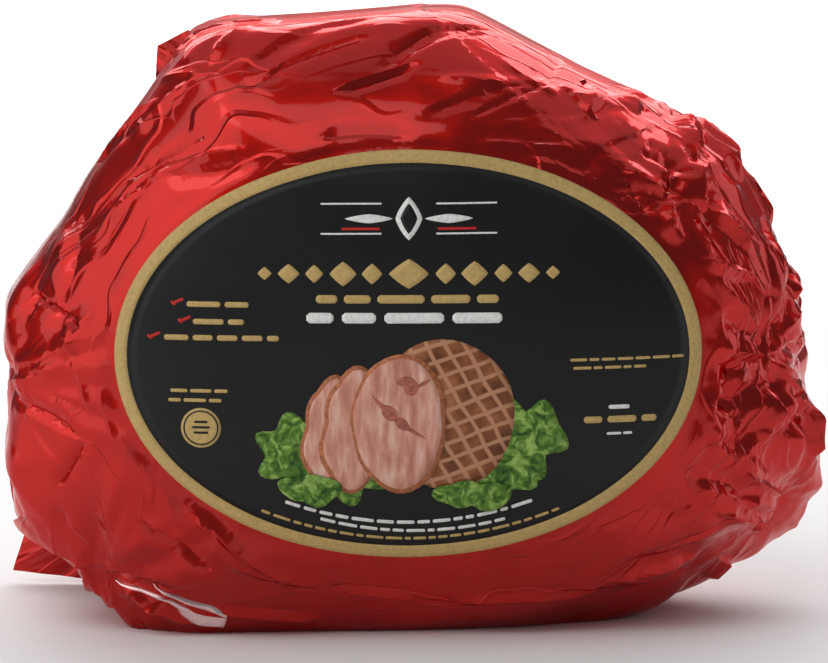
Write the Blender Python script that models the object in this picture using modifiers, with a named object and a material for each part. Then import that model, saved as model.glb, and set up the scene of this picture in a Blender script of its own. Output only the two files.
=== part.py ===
"""A spiral-cut half ham in its shut red foil wrap, with an oval label on its broad front side.

Metres, +Z up. X runs along the ham, from the wide cut end at -X to the gathered shank end at +X.
The label faces -Y. The pack stands on the flat that its own weight presses into its lower side.
The wrap is one closed body. Its corners lie in rows along the folds of the film and are scattered
between them. Each is on a ray from the ham's middle, at the distance of the ham's own form, pulled
out into taut panels and raised or sunk by the folds, and a triangle joins each three neighbours.
"""

import math
from collections import namedtuple

import bmesh
import bpy
import numpy as np
from mathutils import Vector

# Driving dimensions
PACK_LENGTH = 0.260
PACK_HEIGHT = 0.2000
FRONT_DEPTH = 0.077
BACK_DEPTH = 0.075
MIDDLE_HEIGHT = 0.095
LABEL_WIDTH = 0.185
LABEL_HEIGHT = 0.129
LABEL_CENTRE = (-0.0006, 0.0931)
LABEL_BAND = 0.0040
LABEL_THICKNESS = 0.0005
PIECE_GAP = 0.00035
FILM_THICKNESS = 0.0012

# Beyond this share of the outline the front is taken as the rim itself
RIM_SHARE = 0.995
# The label's margin, in shares of its own radii: smooth film inside the first, free outside the second
LABEL_MARGIN = (1.02, 1.16)

# The outline seen from the front, clockwise from the top left: x in half lengths, z in heights.
# It dips under the floor where the weight of the ham flattens the pack.
OUTLINE = (
    (-0.543, 0.951), (-0.422, 0.983), (-0.228, 0.984), (0.063, 0.999), (0.209, 0.989),
    (0.354, 0.944), (0.549, 0.876), (0.694, 0.828), (0.791, 0.782), (0.851, 0.737),
    (0.907, 0.678), (0.956, 0.620), (0.990, 0.537), (1.000, 0.429), (0.998, 0.279),
    (0.980, 0.221), (0.937, 0.166), (0.791, 0.068), (0.726, 0.033), (0.550, -0.005),
    (0.353, -0.040), (0.000, -0.050), (-0.515, -0.040), (-0.690, -0.015), (-0.743, 0.020),
    (-0.859, 0.113), (-0.951, 0.163), (-0.995, 0.260), (-0.976, 0.379), (-0.985, 0.462),
    (-0.980, 0.529), (-0.912, 0.612), (-0.840, 0.678), (-0.791, 0.745), (-0.711, 0.811),
    (-0.640, 0.861),
)
OUTLINE_ROUNDING = 0.003
# The outline's middle lies this far left of the point that the surface is drawn around
OUTLINE_SHIFT = -0.004

# Fullness of the depth profile: 2 is an ellipse, and a higher power is boxier
SHANK_FULLNESS = 2.35
CUT_END_FULLNESS = 3.1

# Taut film panels: flat patches that the film spans between high points
PANEL_SEED = 11
PANEL_RINGS = ((-66, 6), (-42, 9), (-18, 12), (6, 14), (27, 14), (46, 11), (68, 6))
PANEL_JITTER = 9.0
PANEL_EDGE_POWER = 90.0
LEAST_FACING = 0.001
TAUT_SHARE_FRONT = 0.35
TAUT_SHARE_BEHIND = 0.75

# Folds that show on the front: both ends (x, z) as seen from the front, height, half width and
# sideways bow, in millimetres. A height under zero is a valley.
Fold = namedtuple("Fold", "x1 z1 x2 z2 height half_width bow")
FRONT_FOLDS = tuple(Fold(*row) for row in (
    # upper left: long soft folds over the cut end's shoulder
    (-40, 196, -66, 180, 1.6, 5.0, 0.0),
    (-80, 171, -103, 152, 2.0, 5.0, 1.0),
    (-87, 162, -104, 150, -1.4, 5.0, 0.0),
    (-65, 180, -80, 176, 1.6, 4.0, 0.0),
    (-71, 177, -89, 159, 2.0, 6.0, -1.0),
    (-64, 163, -85, 151, -1.7, 5.0, 0.0),
    (-112, 128, -84, 148, -2.1, 8.0, -2.0),
    (-80, 149, -47, 156, -2.1, 8.0, -2.0),
    (-30, 161, 2, 161, -1.8, 7.0, 2.0),
    # top: slanted folds that run up to the rim
    (-54, 180, -10, 196, -2.5, 8.0, 3.0),
    (-55, 176, -39, 181, -1.6, 5.0, 0.0),
    (-24, 175, 2, 184, -2.1, 6.0, 0.0),
    (-11, 181, 27, 192, -3.1, 9.0, 2.0),
    (1, 167, 43, 177, -2.3, 7.0, 1.0),
    (43, 177, 50, 185, -2.0, 6.0, 0.0),
    (21, 160, 52, 157, 1.8, 5.0, 0.0),
    (60, 176, 54, 165, 1.8, 5.0, 0.0),
    (69, 175, 73, 166, 2.1, 6.0, 0.0),
    (28, 185, 47, 172, 1.6, 8.0, 0.0),
    # upper right: folds that fall from the rim
    (85, 166, 106, 142, 3.1, 7.0, 2.0),
    (86, 165, 90, 152, 2.6, 6.0, 0.0),
    (90, 152, 94, 136, 2.6, 6.0, -2.0),
    (94, 136, 108, 122, 2.6, 6.0, 2.0),
    (82, 142, 66, 149, 2.0, 6.0, 0.0),
    (82, 142, 82, 126, 2.3, 6.0, -2.0),
    (82, 142, 92, 135, 1.7, 5.0, 0.0),
    (89, 121, 107, 115, 2.3, 6.0, 0.0),
    (98, 160, 123, 122, 3.1, 8.0, -2.0),
    (123, 122, 132, 104, 2.6, 7.0, 0.0),
    (119, 135, 125, 107, -3.6, 5.0, 0.0),
    (72, 156, 89, 147, -2.3, 7.0, 0.0),
    # right: the gathered film beside the shank
    (114, 89, 113, 113, -3.1, 6.0, 0.0),
    (114, 89, 125, 95, 2.6, 5.0, 0.0),
    (114, 89, 127, 75, 2.9, 5.0, 0.0),
    (103, 92, 114, 89, 2.6, 5.0, 0.0),
    (103, 91, 100, 71, -3.6, 6.0, 1.0),
    (91, 81, 96, 61, 2.3, 5.0, 0.0),
    (97, 82, 102, 62, 2.1, 5.0, 0.0),
    (128, 71, 132, 52, 4.2, 6.0, 0.0),
    (104, 56, 113, 67, 2.3, 6.0, 0.0),
    (104, 56, 95, 64, 2.0, 5.0, 0.0),
    (112, 80, 117, 61, 2.9, 7.0, 0.0),
    # lower right: long folds that run to the bottom corner
    (93, 43, 121, 33, 2.6, 6.0, 0.0),
    (91, 50, 105, 44, 2.1, 5.0, 0.0),
    (105, 44, 125, 36, 2.3, 5.0, 0.0),
    (111, 28, 126, 33, 2.3, 5.0, 0.0),
    (99, 10, 105, 19, 2.9, 6.0, 0.0),
    (66, 26, 93, 30, -2.3, 8.0, 0.0),
    (47, 17, 90, 20, 2.3, 9.0, 2.0),
    # left: dark slanted folds
    (-122, 111, -104, 100, -3.1, 8.0, 0.0),
    (-127, 79, -104, 65, -2.9, 7.0, 1.0),
    (-104, 65, -113, 48, -2.0, 6.0, 0.0),
    (-128, 83, -114, 86, -2.3, 5.0, 0.0),
    (-132, 49, -129, 36, 2.1, 5.0, 0.0),
    (-113, 84, -99, 110, 1.8, 9.0, 0.0),
    # lower left: long pleats from the label down to the floor
    (-78, 57, -68, 38, 2.1, 6.0, -2.0),
    (-68, 38, -30, 17, 2.3, 7.0, -3.0),
    (-86, 42, -60, 23, -2.6, 7.0, 0.0),
    (-101, 24, -68, 19, 2.1, 6.0, 0.0),
    (-72, 51, -51, 34, 1.8, 6.0, -2.0),
    (-51, 34, -27, 16, 1.8, 6.0, -2.0),
    (-94, 19, -65, 5, 2.6, 5.0, 1.0),
    (-82, 19, -63, 8, 2.3, 4.0, 0.0),
    (-103, 25, -98, 12, 2.3, 4.0, 0.0),
    (-27, 19, 18, 12, 2.0, 8.0, 3.0),
    (-113, 44, -101, 28, -2.1, 6.0, 0.0),
))

# Fans of folds round a pinched point of the front: x, z, number of folds, reach, height, and the
# depth of the pinch, in millimetres, and a seed
Fan = namedtuple("Fan", "x z folds reach height pinch seed")
FRONT_FANS = tuple(Fan(*row) for row in (
    (116, 88, 22, 62.0, 2.2, 4.0, 3),
    (125, 37, 20, 75.0, 2.4, 4.0, 5),
    (86, 165, 12, 34.0, 1.6, 2.0, 8),
    (82, 142, 11, 30.0, 1.4, 1.6, 13),
    (-127, 83, 10, 40.0, 1.2, 2.5, 17),
    (-100, 18, 12, 50.0, 1.6, 1.5, 21),
    (135, 80, 18, 60.0, 2.8, 2.5, 29),
))

# Folds on the back: how many, and the ranges of their length, height and half width in millimetres
BACK_FOLDS = 46
BACK_FOLD_SEED = 23
BACK_LENGTHS = (30.0, 85.0)
BACK_HEIGHTS = (-2.2, 2.6)
BACK_HALF_WIDTHS = (6.0, 10.0)
BACK_BOW = 3.0
BACK_START = 0.18

# A crease thins out over this share of its half length at each end, and acts no deeper than this
CREASE_TAPER = 0.4
CREASE_DEPTH = 0.035
# The creases of a fan start at this share of its reach, where the pinched film is deepest
FAN_START = 0.10
PINCH_SHARE = 0.16
LEAST_HALF_WIDTH = 0.003

# Spacing of the mesh's corners along and beside the folds, and between them, in metres
ROW_SPACING = 0.0048
FOOT_CLEARANCE = 0.0031
FILL_CLEARANCE = 0.0056
FILL_CLEARANCE_BACK = 0.0070
FILL_CLEARANCE_LABEL = 0.0140
FILL_CLEARANCE_FLAT = 0.0160
FILL_TRIES = 26000
# Length, depth and height in proportion, which spreads the scattered corners evenly over the ham
HAM_PROPORTIONS = (1.36, 0.80, 1.0)
FILL_SEED = 5
# Random height of the corners between the folds: calm on the left, crumpled on the right
CALM_CRUMPLE = 0.0002
SHANK_CRUMPLE = 0.0005
BACK_CRUMPLE = 0.0005
LABEL_RIM_POINTS = 84
LABEL_RIM_SHARES = (0.99, 1.03)
LABEL_RIM_CLEARANCE = 0.0010
# Share of the clearance that folds keep where the film is flat and its corners lie wide apart
FLAT_FOLD_SHARE = 0.6

# Loose film corners, each a sheet from a root inside the pack to a free edge: x, y, z points
Flap = namedtuple("Flap", "name root edge billow")
FLAPS = (
    Flap(
        "top ear",
        ((-0.0800, 0.010, 0.1700), (-0.0740, 0.008, 0.1780), (-0.0660, 0.004, 0.1860)),
        ((-0.0846, 0.012, 0.1755), (-0.0838, 0.011, 0.1860), (-0.0735, 0.006, 0.1915)),
        0.0010,
    ),
    Flap(
        "floor fin",
        ((-0.1120, 0.038, 0.0300), (-0.1050, 0.038, 0.0215), (-0.0960, 0.038, 0.0120)),
        ((-0.1305, 0.046, 0.0235), (-0.1365, 0.048, 0.0085), (-0.1090, 0.046, 0.0030)),
        0.0018,
    ),
    Flap(
        "corner tuck",
        ((-0.0820, -0.006, 0.0120), (-0.0900, -0.002, 0.0220), (-0.1020, 0.006, 0.0330)),
        ((-0.0985, -0.004, 0.0008), (-0.1090, 0.004, 0.0075), (-0.1260, 0.014, 0.0270)),
        0.0016,
    ),
)
FLAP_CELLS = 7
LABEL_CELLS = 24
BAND_SEGMENTS = 72

FOIL_RED = (0.72, 0.012, 0.010, 1.0)
LABEL_BLACK = (0.016, 0.015, 0.015, 1.0)
LABEL_GOLD = (0.49, 0.38, 0.14, 1.0)

MM = 0.001


def clear_scene():
    for old in list(bpy.data.objects):
        bpy.data.objects.remove(old)


def new_collection(name):
    made = bpy.data.collections.new(name)
    bpy.context.scene.collection.children.link(made)
    return made


def new_material(name, colour, metallic, roughness):
    made = bpy.data.materials.new(name)
    made.use_nodes = True
    shader = made.node_tree.nodes["Principled BSDF"]
    shader.inputs["Base Color"].default_value = colour
    shader.inputs["Metallic"].default_value = metallic
    shader.inputs["Roughness"].default_value = roughness
    made.diffuse_color = colour
    return made


def new_object(name, shape, collection, material=None):
    """Turns a bmesh into a named, smooth-shaded object."""
    mesh = bpy.data.meshes.new(name)
    shape.to_mesh(mesh)
    shape.free()
    mesh.shade_smooth()
    made = bpy.data.objects.new(name, mesh)
    collection.objects.link(made)
    if material:
        mesh.materials.append(material)
    return made


def smooth_step(value, low, high):
    share = np.clip((value - low) / (high - low), 0.0, 1.0)
    return share * share * (3.0 - 2.0 * share)


def unit(vectors):
    vectors = np.asarray(vectors, float)
    return vectors / np.linalg.norm(vectors, axis=-1, keepdims=True)


def outline_table():
    """Angles and distances of the rounded outline from the ham's middle, for interpolation."""
    corners = np.array(OUTLINE) * (PACK_LENGTH / 2, PACK_HEIGHT) + (OUTLINE_SHIFT, -MIDDLE_HEIGHT)
    ends = np.roll(corners, -1, axis=0)
    lengths = np.linalg.norm(ends - corners, axis=1)
    walked = np.concatenate([[0.0], np.cumsum(lengths)])
    samples = np.linspace(0.0, walked[-1], 720, endpoint=False)
    closed = np.vstack([corners, corners[:1]])
    line = np.stack([np.interp(samples, walked, closed[:, axis]) for axis in (0, 1)], axis=1)
    reach = max(1, round(OUTLINE_ROUNDING / (walked[-1] / 720)))
    rounded = sum(np.roll(line, step, axis=0) for step in range(-reach, reach + 1))
    rounded /= 2 * reach + 1
    angles = np.arctan2(rounded[:, 1], rounded[:, 0])
    order = np.argsort(angles)
    return angles[order], np.hypot(rounded[:, 0], rounded[:, 1])[order]


OUTLINE_ANGLES, OUTLINE_RADII = outline_table()


def outline_radius(angle):
    return np.interp(angle, OUTLINE_ANGLES, OUTLINE_RADII, period=2 * math.pi)


def fullness(angle):
    toward_cut_end = (1.0 - np.cos(angle)) / 2.0
    return SHANK_FULLNESS + (CUT_END_FULLNESS - SHANK_FULLNESS) * toward_cut_end**2


def ham_radius(rays):
    """Distance from the ham's middle to its surface along each unit ray."""
    angle = np.arctan2(rays[:, 2], rays[:, 0])
    power = fullness(angle)
    depth = np.where(rays[:, 1] < 0, FRONT_DEPTH, BACK_DEPTH)
    across = np.hypot(rays[:, 0], rays[:, 2]) / outline_radius(angle)
    through = np.abs(rays[:, 1]) / depth
    return (across**power + through**power) ** (-1.0 / power)


def ham_points(rays):
    return rays * ham_radius(rays)[:, None]


def ham_normal(rays):
    """Outward normals of the ham's surface, from points a little way round each ray."""
    aside = unit(np.cross(rays, (0.31, 0.17, 0.93)))
    ahead = np.cross(rays, aside)
    step = 0.01
    rims = [ham_points(unit(rays + step * side)) for side in (aside, ahead, -aside, -ahead)]
    return unit(np.cross(rims[0] - rims[2], rims[1] - rims[3]))


def front_depth(x, height):
    """y of the ham's front, at points seen from the front, with heights from its middle."""
    angle = np.arctan2(height, x)
    power = fullness(angle)
    across = np.minimum(np.hypot(x, height) / outline_radius(angle), RIM_SHARE)
    return -FRONT_DEPTH * (1.0 - across**power) ** (1.0 / power)


def front_rays(x, z):
    """Unit rays from the ham's middle to points seen from the front."""
    x, height = np.asarray(x, float), np.asarray(z, float) - MIDDLE_HEIGHT
    return unit(np.stack([x, front_depth(x, height), height], axis=-1))


def panel_rays():
    """Where the film's flat panels touch the ham: jittered rings from the back to the front."""
    random = np.random.default_rng(PANEL_SEED)
    rays = []
    for tilt, count in PANEL_RINGS:
        for index in range(count):
            around = math.radians(360.0 * index / count + random.uniform(-PANEL_JITTER, PANEL_JITTER))
            lean = math.radians(tilt + random.uniform(-PANEL_JITTER, PANEL_JITTER))
            across = math.cos(lean)
            rays.append((math.cos(around) * across, -math.sin(lean), math.sin(around) * across))
    return np.array(rays)


def panel_radius(rays):
    """Distance to the flat panels, as a soft minimum over the planes that touch the ham."""
    touches = panel_rays()
    normals = ham_normal(touches)
    offsets = np.sum(ham_points(touches) * normals, axis=1)
    facing = np.maximum(rays @ normals.T, LEAST_FACING)
    closeness = (facing / offsets) ** PANEL_EDGE_POWER
    return closeness.sum(axis=1) ** (-1.0 / PANEL_EDGE_POWER)


def beyond_label(points):
    """0 under the label and on its margin, rising to 1 away from it."""
    across = (points[:, 0] - LABEL_CENTRE[0]) / (LABEL_WIDTH / 2)
    upward = (points[:, 2] + MIDDLE_HEIGHT - LABEL_CENTRE[1]) / (LABEL_HEIGHT / 2)
    away = smooth_step(np.hypot(across, upward), *LABEL_MARGIN)
    return np.where(points[:, 1] < 0, away, 1.0)


# A crease is a line over the ham between two rays, with its height, half width and bow in metres
Crease = namedtuple("Crease", "start end height half_width bow")


def front_creases():
    creases = []
    for fold in FRONT_FOLDS:
        start, end = front_rays((fold.x1 * MM, fold.x2 * MM), (fold.z1 * MM, fold.z2 * MM))
        creases.append(Crease(start, end, fold.height * MM, fold.half_width * MM, fold.bow * MM))
    return creases


def fan_creases():
    """Folds that run out from a pinched point, alternately high and low."""
    creases = []
    for fan in FRONT_FANS:
        random = np.random.default_rng(fan.seed)
        middle = front_rays(fan.x * MM, fan.z * MM)[None]
        normal = ham_normal(middle)[0]
        point = ham_points(middle)[0]
        aside = unit(np.cross(normal, (0.0, 0.0, 1.0)))
        upward = np.cross(aside, normal)
        for index in range(fan.folds):
            angle = 2 * math.pi * (index + random.uniform(-0.3, 0.3)) / fan.folds
            reach = fan.reach * MM * random.uniform(0.45, 1.0)
            sign = 1.0 if index % 2 else -0.7
            toward = math.cos(angle) * aside + math.sin(angle) * upward
            start = unit(point + toward * reach * FAN_START)
            end = unit(point + toward * reach)
            height = sign * fan.height * MM * random.uniform(0.5, 1.0)
            width = reach * math.pi / fan.folds * random.uniform(0.8, 1.1)
            creases.append(Crease(start, end, height, max(width, LEAST_HALF_WIDTH), 0.0))
    return creases


def back_creases():
    random = np.random.default_rng(BACK_FOLD_SEED)
    creases = []
    while len(creases) < BACK_FOLDS:
        middle = unit(random.normal(size=3) * (1.0, 0.8, 0.8))
        toward = unit(np.cross(middle, random.normal(size=3) * (0.35, 1.0, 1.0)))
        length, height, half_width = (
            random.uniform(*limits) * MM for limits in (BACK_LENGTHS, BACK_HEIGHTS, BACK_HALF_WIDTHS)
        )
        if middle[1] < BACK_START:
            continue
        point = ham_points(middle[None])[0]
        start, end = unit(point - toward * length / 2), unit(point + toward * length / 2)
        creases.append(Crease(start, end, height, half_width, random.uniform(-BACK_BOW, BACK_BOW) * MM))
    return creases


CREASES = front_creases() + fan_creases() + back_creases()


def crease_frame(crease):
    """Middle, direction, sideways direction and half length of a crease, in space."""
    start, end = ham_points(np.stack([crease.start, crease.end]))
    along = unit(end - start)
    middle_ray = unit(start + end)[None]
    middle = (start + end) / 2
    across = unit(np.cross(ham_normal(middle_ray)[0], along))
    return middle, along, across, np.linalg.norm(end - start) / 2


def crease_height(points, crease):
    """A straight-sided ridge or valley that thins out to both ends."""
    middle, along, across, half_length = crease_frame(crease)
    offset = points - middle
    share = (offset @ along) / half_length
    aside = (offset @ across - crease.bow * (1.0 - share**2)) / crease.half_width
    through = np.abs(offset @ np.cross(along, across))
    profile = np.maximum(0.0, 1.0 - np.abs(aside))
    taper = np.clip((1.0 - np.abs(share)) / CREASE_TAPER, 0.0, 1.0)
    return crease.height * profile * taper * (through < CREASE_DEPTH)


def pinch_depth(points, fan):
    middle = ham_points(front_rays(fan.x * MM, fan.z * MM)[None])[0]
    away = np.linalg.norm(points - middle, axis=1)
    return fan.pinch * MM * np.exp(-((away / (fan.reach * MM * PINCH_SHARE)) ** 2))


def crease_rows(crease):
    """Rays to points along a crease and along both its feet."""
    middle, along, across, half_length = crease_frame(crease)
    count = max(2, round(2 * half_length / ROW_SPACING))
    shares = np.linspace(-1.0, 1.0, count + 1)
    rows = []
    for aside in (0.0, 1.0, -1.0):
        bowed = crease.bow * (1.0 - shares**2) + aside * crease.half_width
        rows.append(unit(middle + np.outer(shares * half_length, along) + np.outer(bowed, across)))
    return rows[0], np.vstack(rows[1:])


def label_rim_rays():
    turn = np.linspace(0.0, 2 * math.pi, LABEL_RIM_POINTS, endpoint=False)
    rays = []
    for share in LABEL_RIM_SHARES:
        x = LABEL_CENTRE[0] + np.cos(turn) * LABEL_WIDTH / 2 * share
        z = LABEL_CENTRE[1] + np.sin(turn) * LABEL_HEIGHT / 2 * share
        rays.append(front_rays(x, z))
    return np.vstack(rays)


def clearance_at(points):
    """How close the scattered corners may lie: wide apart where the film is smooth or flat."""
    clearance = np.where(points[:, 1] > 0.030, FILL_CLEARANCE_BACK, FILL_CLEARANCE)
    under_label = (beyond_label(points) == 0.0) & (points[:, 1] < 0)
    clearance = np.where(under_label, FILL_CLEARANCE_LABEL, clearance)
    return np.where(points[:, 2] < -MIDDLE_HEIGHT - 0.001, FILL_CLEARANCE_FLAT, clearance)


def wrap_rays():
    """Rays to all corners of the wrap: the label's rim, folds, their feet, then the rest."""
    crests, feet = zip(*(crease_rows(crease) for crease in CREASES))
    random = np.random.default_rng(FILL_SEED)
    scattered = unit(unit(random.normal(size=(FILL_TRIES, 3))) * HAM_PROPORTIONS)
    groups = (
        (label_rim_rays(), LABEL_RIM_CLEARANCE),
        (np.vstack(crests), FOOT_CLEARANCE),
        (np.vstack(feet), FOOT_CLEARANCE),
        (scattered, None),
    )
    kept = np.empty((0, 3))
    rays = []
    for group, fixed in groups:
        points = ham_points(group)
        clearances = clearance_at(points)
        if fixed is not None:
            wide = (clearances > FILL_CLEARANCE_BACK) & (fixed > LABEL_RIM_CLEARANCE)
            clearances = np.where(wide, clearances * FLAT_FOLD_SHARE, fixed)
        for ray, point, clearance in zip(group, points, clearances):
            if len(kept) and ((kept - point) ** 2).sum(axis=1).min() < clearance**2:
                continue
            kept = np.vstack([kept, point])
            rays.append(ray)
    return np.array(rays)


def wrap_points(rays):
    """The wrap's surface along each ray, in the pack's own frame."""
    bare = ham_radius(rays)
    on_ham = rays * bare[:, None]
    free = beyond_label(on_ham)
    behind = smooth_step(on_ham[:, 1], -0.035, 0.010)
    taut_share = (TAUT_SHARE_FRONT + (TAUT_SHARE_BEHIND - TAUT_SHARE_FRONT) * behind) * free
    random = np.random.default_rng(FILL_SEED + 1)
    toward_shank = smooth_step(on_ham[:, 0], 0.020, 0.080)
    crumple = CALM_CRUMPLE + (SHANK_CRUMPLE - CALM_CRUMPLE) * toward_shank
    crumple = crumple + (BACK_CRUMPLE - crumple) * behind
    relief = crumple * random.uniform(-1.0, 1.0, len(rays))
    relief += sum(crease_height(on_ham, crease) for crease in CREASES)
    relief -= sum(pinch_depth(on_ham, fan) for fan in FRONT_FANS)
    radius = bare + taut_share * (panel_radius(rays) - bare) + relief * free
    downward = rays[:, 2] < -0.01
    to_floor = MIDDLE_HEIGHT / np.where(downward, -rays[:, 2], 1.0)
    radius = np.where(downward, np.minimum(radius, to_floor), radius)
    return rays * radius[:, None] + (0.0, 0.0, MIDDLE_HEIGHT)


def build_wrap_body(collection, material):
    """Joins neighbouring rays by the hull of their ends on a sphere, then moves each corner."""
    rays = wrap_rays()
    shape = bmesh.new()
    for ray in rays:
        shape.verts.new(ray)
    bmesh.ops.convex_hull(shape, input=shape.verts[:])
    shape.verts.ensure_lookup_table()
    for vertex, point in zip(shape.verts, wrap_points(rays)):
        vertex.co = point
    return new_object("foil_wrap", shape, collection, material)


def curve_through(points, shares):
    """Points on the parabola through three given points, at shares from 0 to 1."""
    first, middle, last = (np.array(point) for point in points)
    shares = shares[:, None]
    return (
        first * (1 - shares) * (1 - 2 * shares)
        + middle * 4 * shares * (1 - shares)
        + last * shares * (2 * shares - 1)
    )


def build_flap(flap, collection):
    """A loose film corner: a billowing sheet between its root and its free edge, made solid."""
    shape = bmesh.new()
    bmesh.ops.create_grid(shape, x_segments=FLAP_CELLS, y_segments=FLAP_CELLS, size=0.5)
    grid = np.array([vertex.co[:2] for vertex in shape.verts]) + 0.5
    root = curve_through(flap.root, grid[:, 0])
    edge = curve_through(flap.edge, grid[:, 0])
    sheet = root + (edge - root) * grid[:, 1:]
    sheet[:, 1] += flap.billow * np.sin(grid[:, 1] * math.pi) * np.cos(grid[:, 0] * 3 * math.pi)
    for vertex, point in zip(shape.verts, sheet):
        vertex.co = point
    made = new_object(flap.name.replace(" ", "_"), shape, collection)
    wall = made.modifiers.new("film", "SOLIDIFY")
    wall.thickness = FILM_THICKNESS
    wall.offset = 0.0
    made.hide_render = True
    made.display_type = "WIRE"
    return made


def join_flaps(body, flaps):
    """Fuses the loose corners to the wrap and keeps all of it above the floor."""
    union = body.modifiers.new("flaps", "BOOLEAN")
    union.operation = "UNION"
    union.operand_type = "COLLECTION"
    union.collection = flaps
    graph = bpy.context.evaluated_depsgraph_get()
    joined = bpy.data.meshes.new_from_object(body.evaluated_get(graph))
    body.modifiers.clear()
    body.data = joined
    for flap in list(flaps.objects):
        bpy.data.objects.remove(flap)
    bpy.data.collections.remove(flaps)
    shape = bmesh.new()
    shape.from_mesh(joined)
    for vertex in shape.verts:
        vertex.co.z = max(vertex.co.z, 0.0)
    bmesh.ops.remove_doubles(shape, verts=shape.verts[:], dist=0.00005)
    shape.to_mesh(joined)
    shape.free()
    joined.shade_smooth()


def label_disc(radii, cells):
    """A square grid blown out to fill an ellipse."""
    shape = bmesh.new()
    bmesh.ops.create_grid(shape, x_segments=cells, y_segments=cells, size=1.0)
    for vertex in shape.verts:
        x, y = vertex.co.x, vertex.co.y
        vertex.co.x = radii[0] * x * math.sqrt(1 - y * y / 2)
        vertex.co.y = radii[1] * y * math.sqrt(1 - x * x / 2)
    return shape


def label_ring(inner, outer, segments):
    """A flat ring between two ellipses."""
    shape = bmesh.new()
    bmesh.ops.create_circle(shape, segments=segments, radius=1.0)
    swept = bmesh.ops.extrude_edge_only(shape, edges=shape.edges[:])
    rim = {part for part in swept["geom"] if isinstance(part, bmesh.types.BMVert)}
    for vertex in shape.verts:
        radii = outer if vertex in rim else inner
        vertex.co.x *= radii[0]
        vertex.co.y *= radii[1]
    return shape


def lay_on_front(name, shape, collection, material):
    """Bends a flat sheet over the pack's front, a small gap above the film, and thickens it."""
    flat = np.array([vertex.co[:2] for vertex in shape.verts])
    rays = front_rays(flat[:, 0] + LABEL_CENTRE[0], flat[:, 1] + LABEL_CENTRE[1])
    points = ham_points(rays) + ham_normal(rays) * (PIECE_GAP + LABEL_THICKNESS / 2)
    for vertex, point in zip(shape.verts, points):
        vertex.co = Vector(point) + Vector((0.0, 0.0, MIDDLE_HEIGHT))
    bmesh.ops.recalc_face_normals(shape, faces=shape.faces[:])
    made = new_object(name, shape, collection, material)
    wall = made.modifiers.new("thickness", "SOLIDIFY")
    wall.thickness = LABEL_THICKNESS
    wall.offset = 0.0
    return made


def centre_on_origin(objects):
    """Moves the whole pack so that its bounding box stands over the origin."""
    corners = np.array([corner for made in objects for corner in made.bound_box])
    middle = (corners.min(axis=0) + corners.max(axis=0)) / 2
    for made in objects:
        for vertex in made.data.vertices:
            vertex.co.x -= middle[0]
            vertex.co.y -= middle[1]


def main():
    clear_scene()
    pack = new_collection("wrapped_ham")
    loose = new_collection("loose_film")
    foil = new_material("red_foil", FOIL_RED, 1.0, 0.18)
    black = new_material("label_black", LABEL_BLACK, 0.0, 0.45)
    gold = new_material("label_gold", LABEL_GOLD, 0.0, 0.40)
    wrap = build_wrap_body(pack, foil)
    for flap in FLAPS:
        build_flap(flap, loose)
    join_flaps(wrap, loose)
    whole = (LABEL_WIDTH / 2, LABEL_HEIGHT / 2)
    band_inside = tuple(radius - LABEL_BAND for radius in whole)
    field_edge = tuple(radius - PIECE_GAP for radius in band_inside)
    field = lay_on_front("label_field", label_disc(field_edge, LABEL_CELLS), pack, black)
    band = lay_on_front("label_band", label_ring(band_inside, whole, BAND_SEGMENTS), pack, gold)
    bpy.context.view_layer.update()
    centre_on_origin([wrap, field, band])


main()
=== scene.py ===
"""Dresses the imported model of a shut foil-wrapped ham and sets it in a plain studio.

Metres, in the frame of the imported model. The film of the wrap is worked out from the ham's form
and a list of folds, the label is laid over its front, and the label's print is thin shapes on it.
"""

import math
from collections import namedtuple

import bmesh
import bpy
import numpy as np
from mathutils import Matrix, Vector, kdtree
from mathutils.geometry import delaunay_2d_cdt


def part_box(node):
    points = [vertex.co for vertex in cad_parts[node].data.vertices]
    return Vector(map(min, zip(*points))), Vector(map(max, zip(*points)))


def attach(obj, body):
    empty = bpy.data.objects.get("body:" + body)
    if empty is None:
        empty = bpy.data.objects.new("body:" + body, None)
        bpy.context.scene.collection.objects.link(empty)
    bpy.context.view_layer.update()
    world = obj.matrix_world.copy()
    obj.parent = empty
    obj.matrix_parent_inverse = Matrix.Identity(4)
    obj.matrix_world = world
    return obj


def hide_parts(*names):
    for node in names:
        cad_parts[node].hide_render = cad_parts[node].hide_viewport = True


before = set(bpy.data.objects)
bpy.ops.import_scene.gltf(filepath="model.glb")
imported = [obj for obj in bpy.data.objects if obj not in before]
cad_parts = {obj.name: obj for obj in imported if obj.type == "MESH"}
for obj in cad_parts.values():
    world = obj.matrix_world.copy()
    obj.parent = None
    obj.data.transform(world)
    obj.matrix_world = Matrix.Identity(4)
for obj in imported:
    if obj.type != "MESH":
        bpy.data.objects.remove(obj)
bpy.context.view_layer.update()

bl_info = {
    "name": "Wrapped ham",
    "version": (1, 0, 0),
    "blender": (4, 5, 0),
    "location": "View3D > Sidebar > Wrapped ham",
    "description": "Red foil, oval label and studio for a shut pack of ham",
    "category": "Object",
}

MM = 0.001
TINY = 1e-9

# The ham's form, as in the solids: full length and height of the outline, and depths
PACK_LENGTH = 0.260
PACK_HEIGHT = 0.2000
FRONT_DEPTH = 0.077
BACK_DEPTH = 0.075
MIDDLE_HEIGHT = 0.095
LABEL_WIDTH = 0.185
LABEL_HEIGHT = 0.129
LABEL_CENTRE = (-0.0006, 0.0931)
LABEL_BAND = 0.0040
LABEL_TOP_LIFT = 0.00085
SHANK_FULLNESS = 2.35
CUT_END_FULLNESS = 3.1
RIM_SHARE = 0.995
LABEL_MARGIN = (1.01, 1.08)
OUTLINE_ROUNDING = 0.003
OUTLINE_SAMPLES = 720
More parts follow.
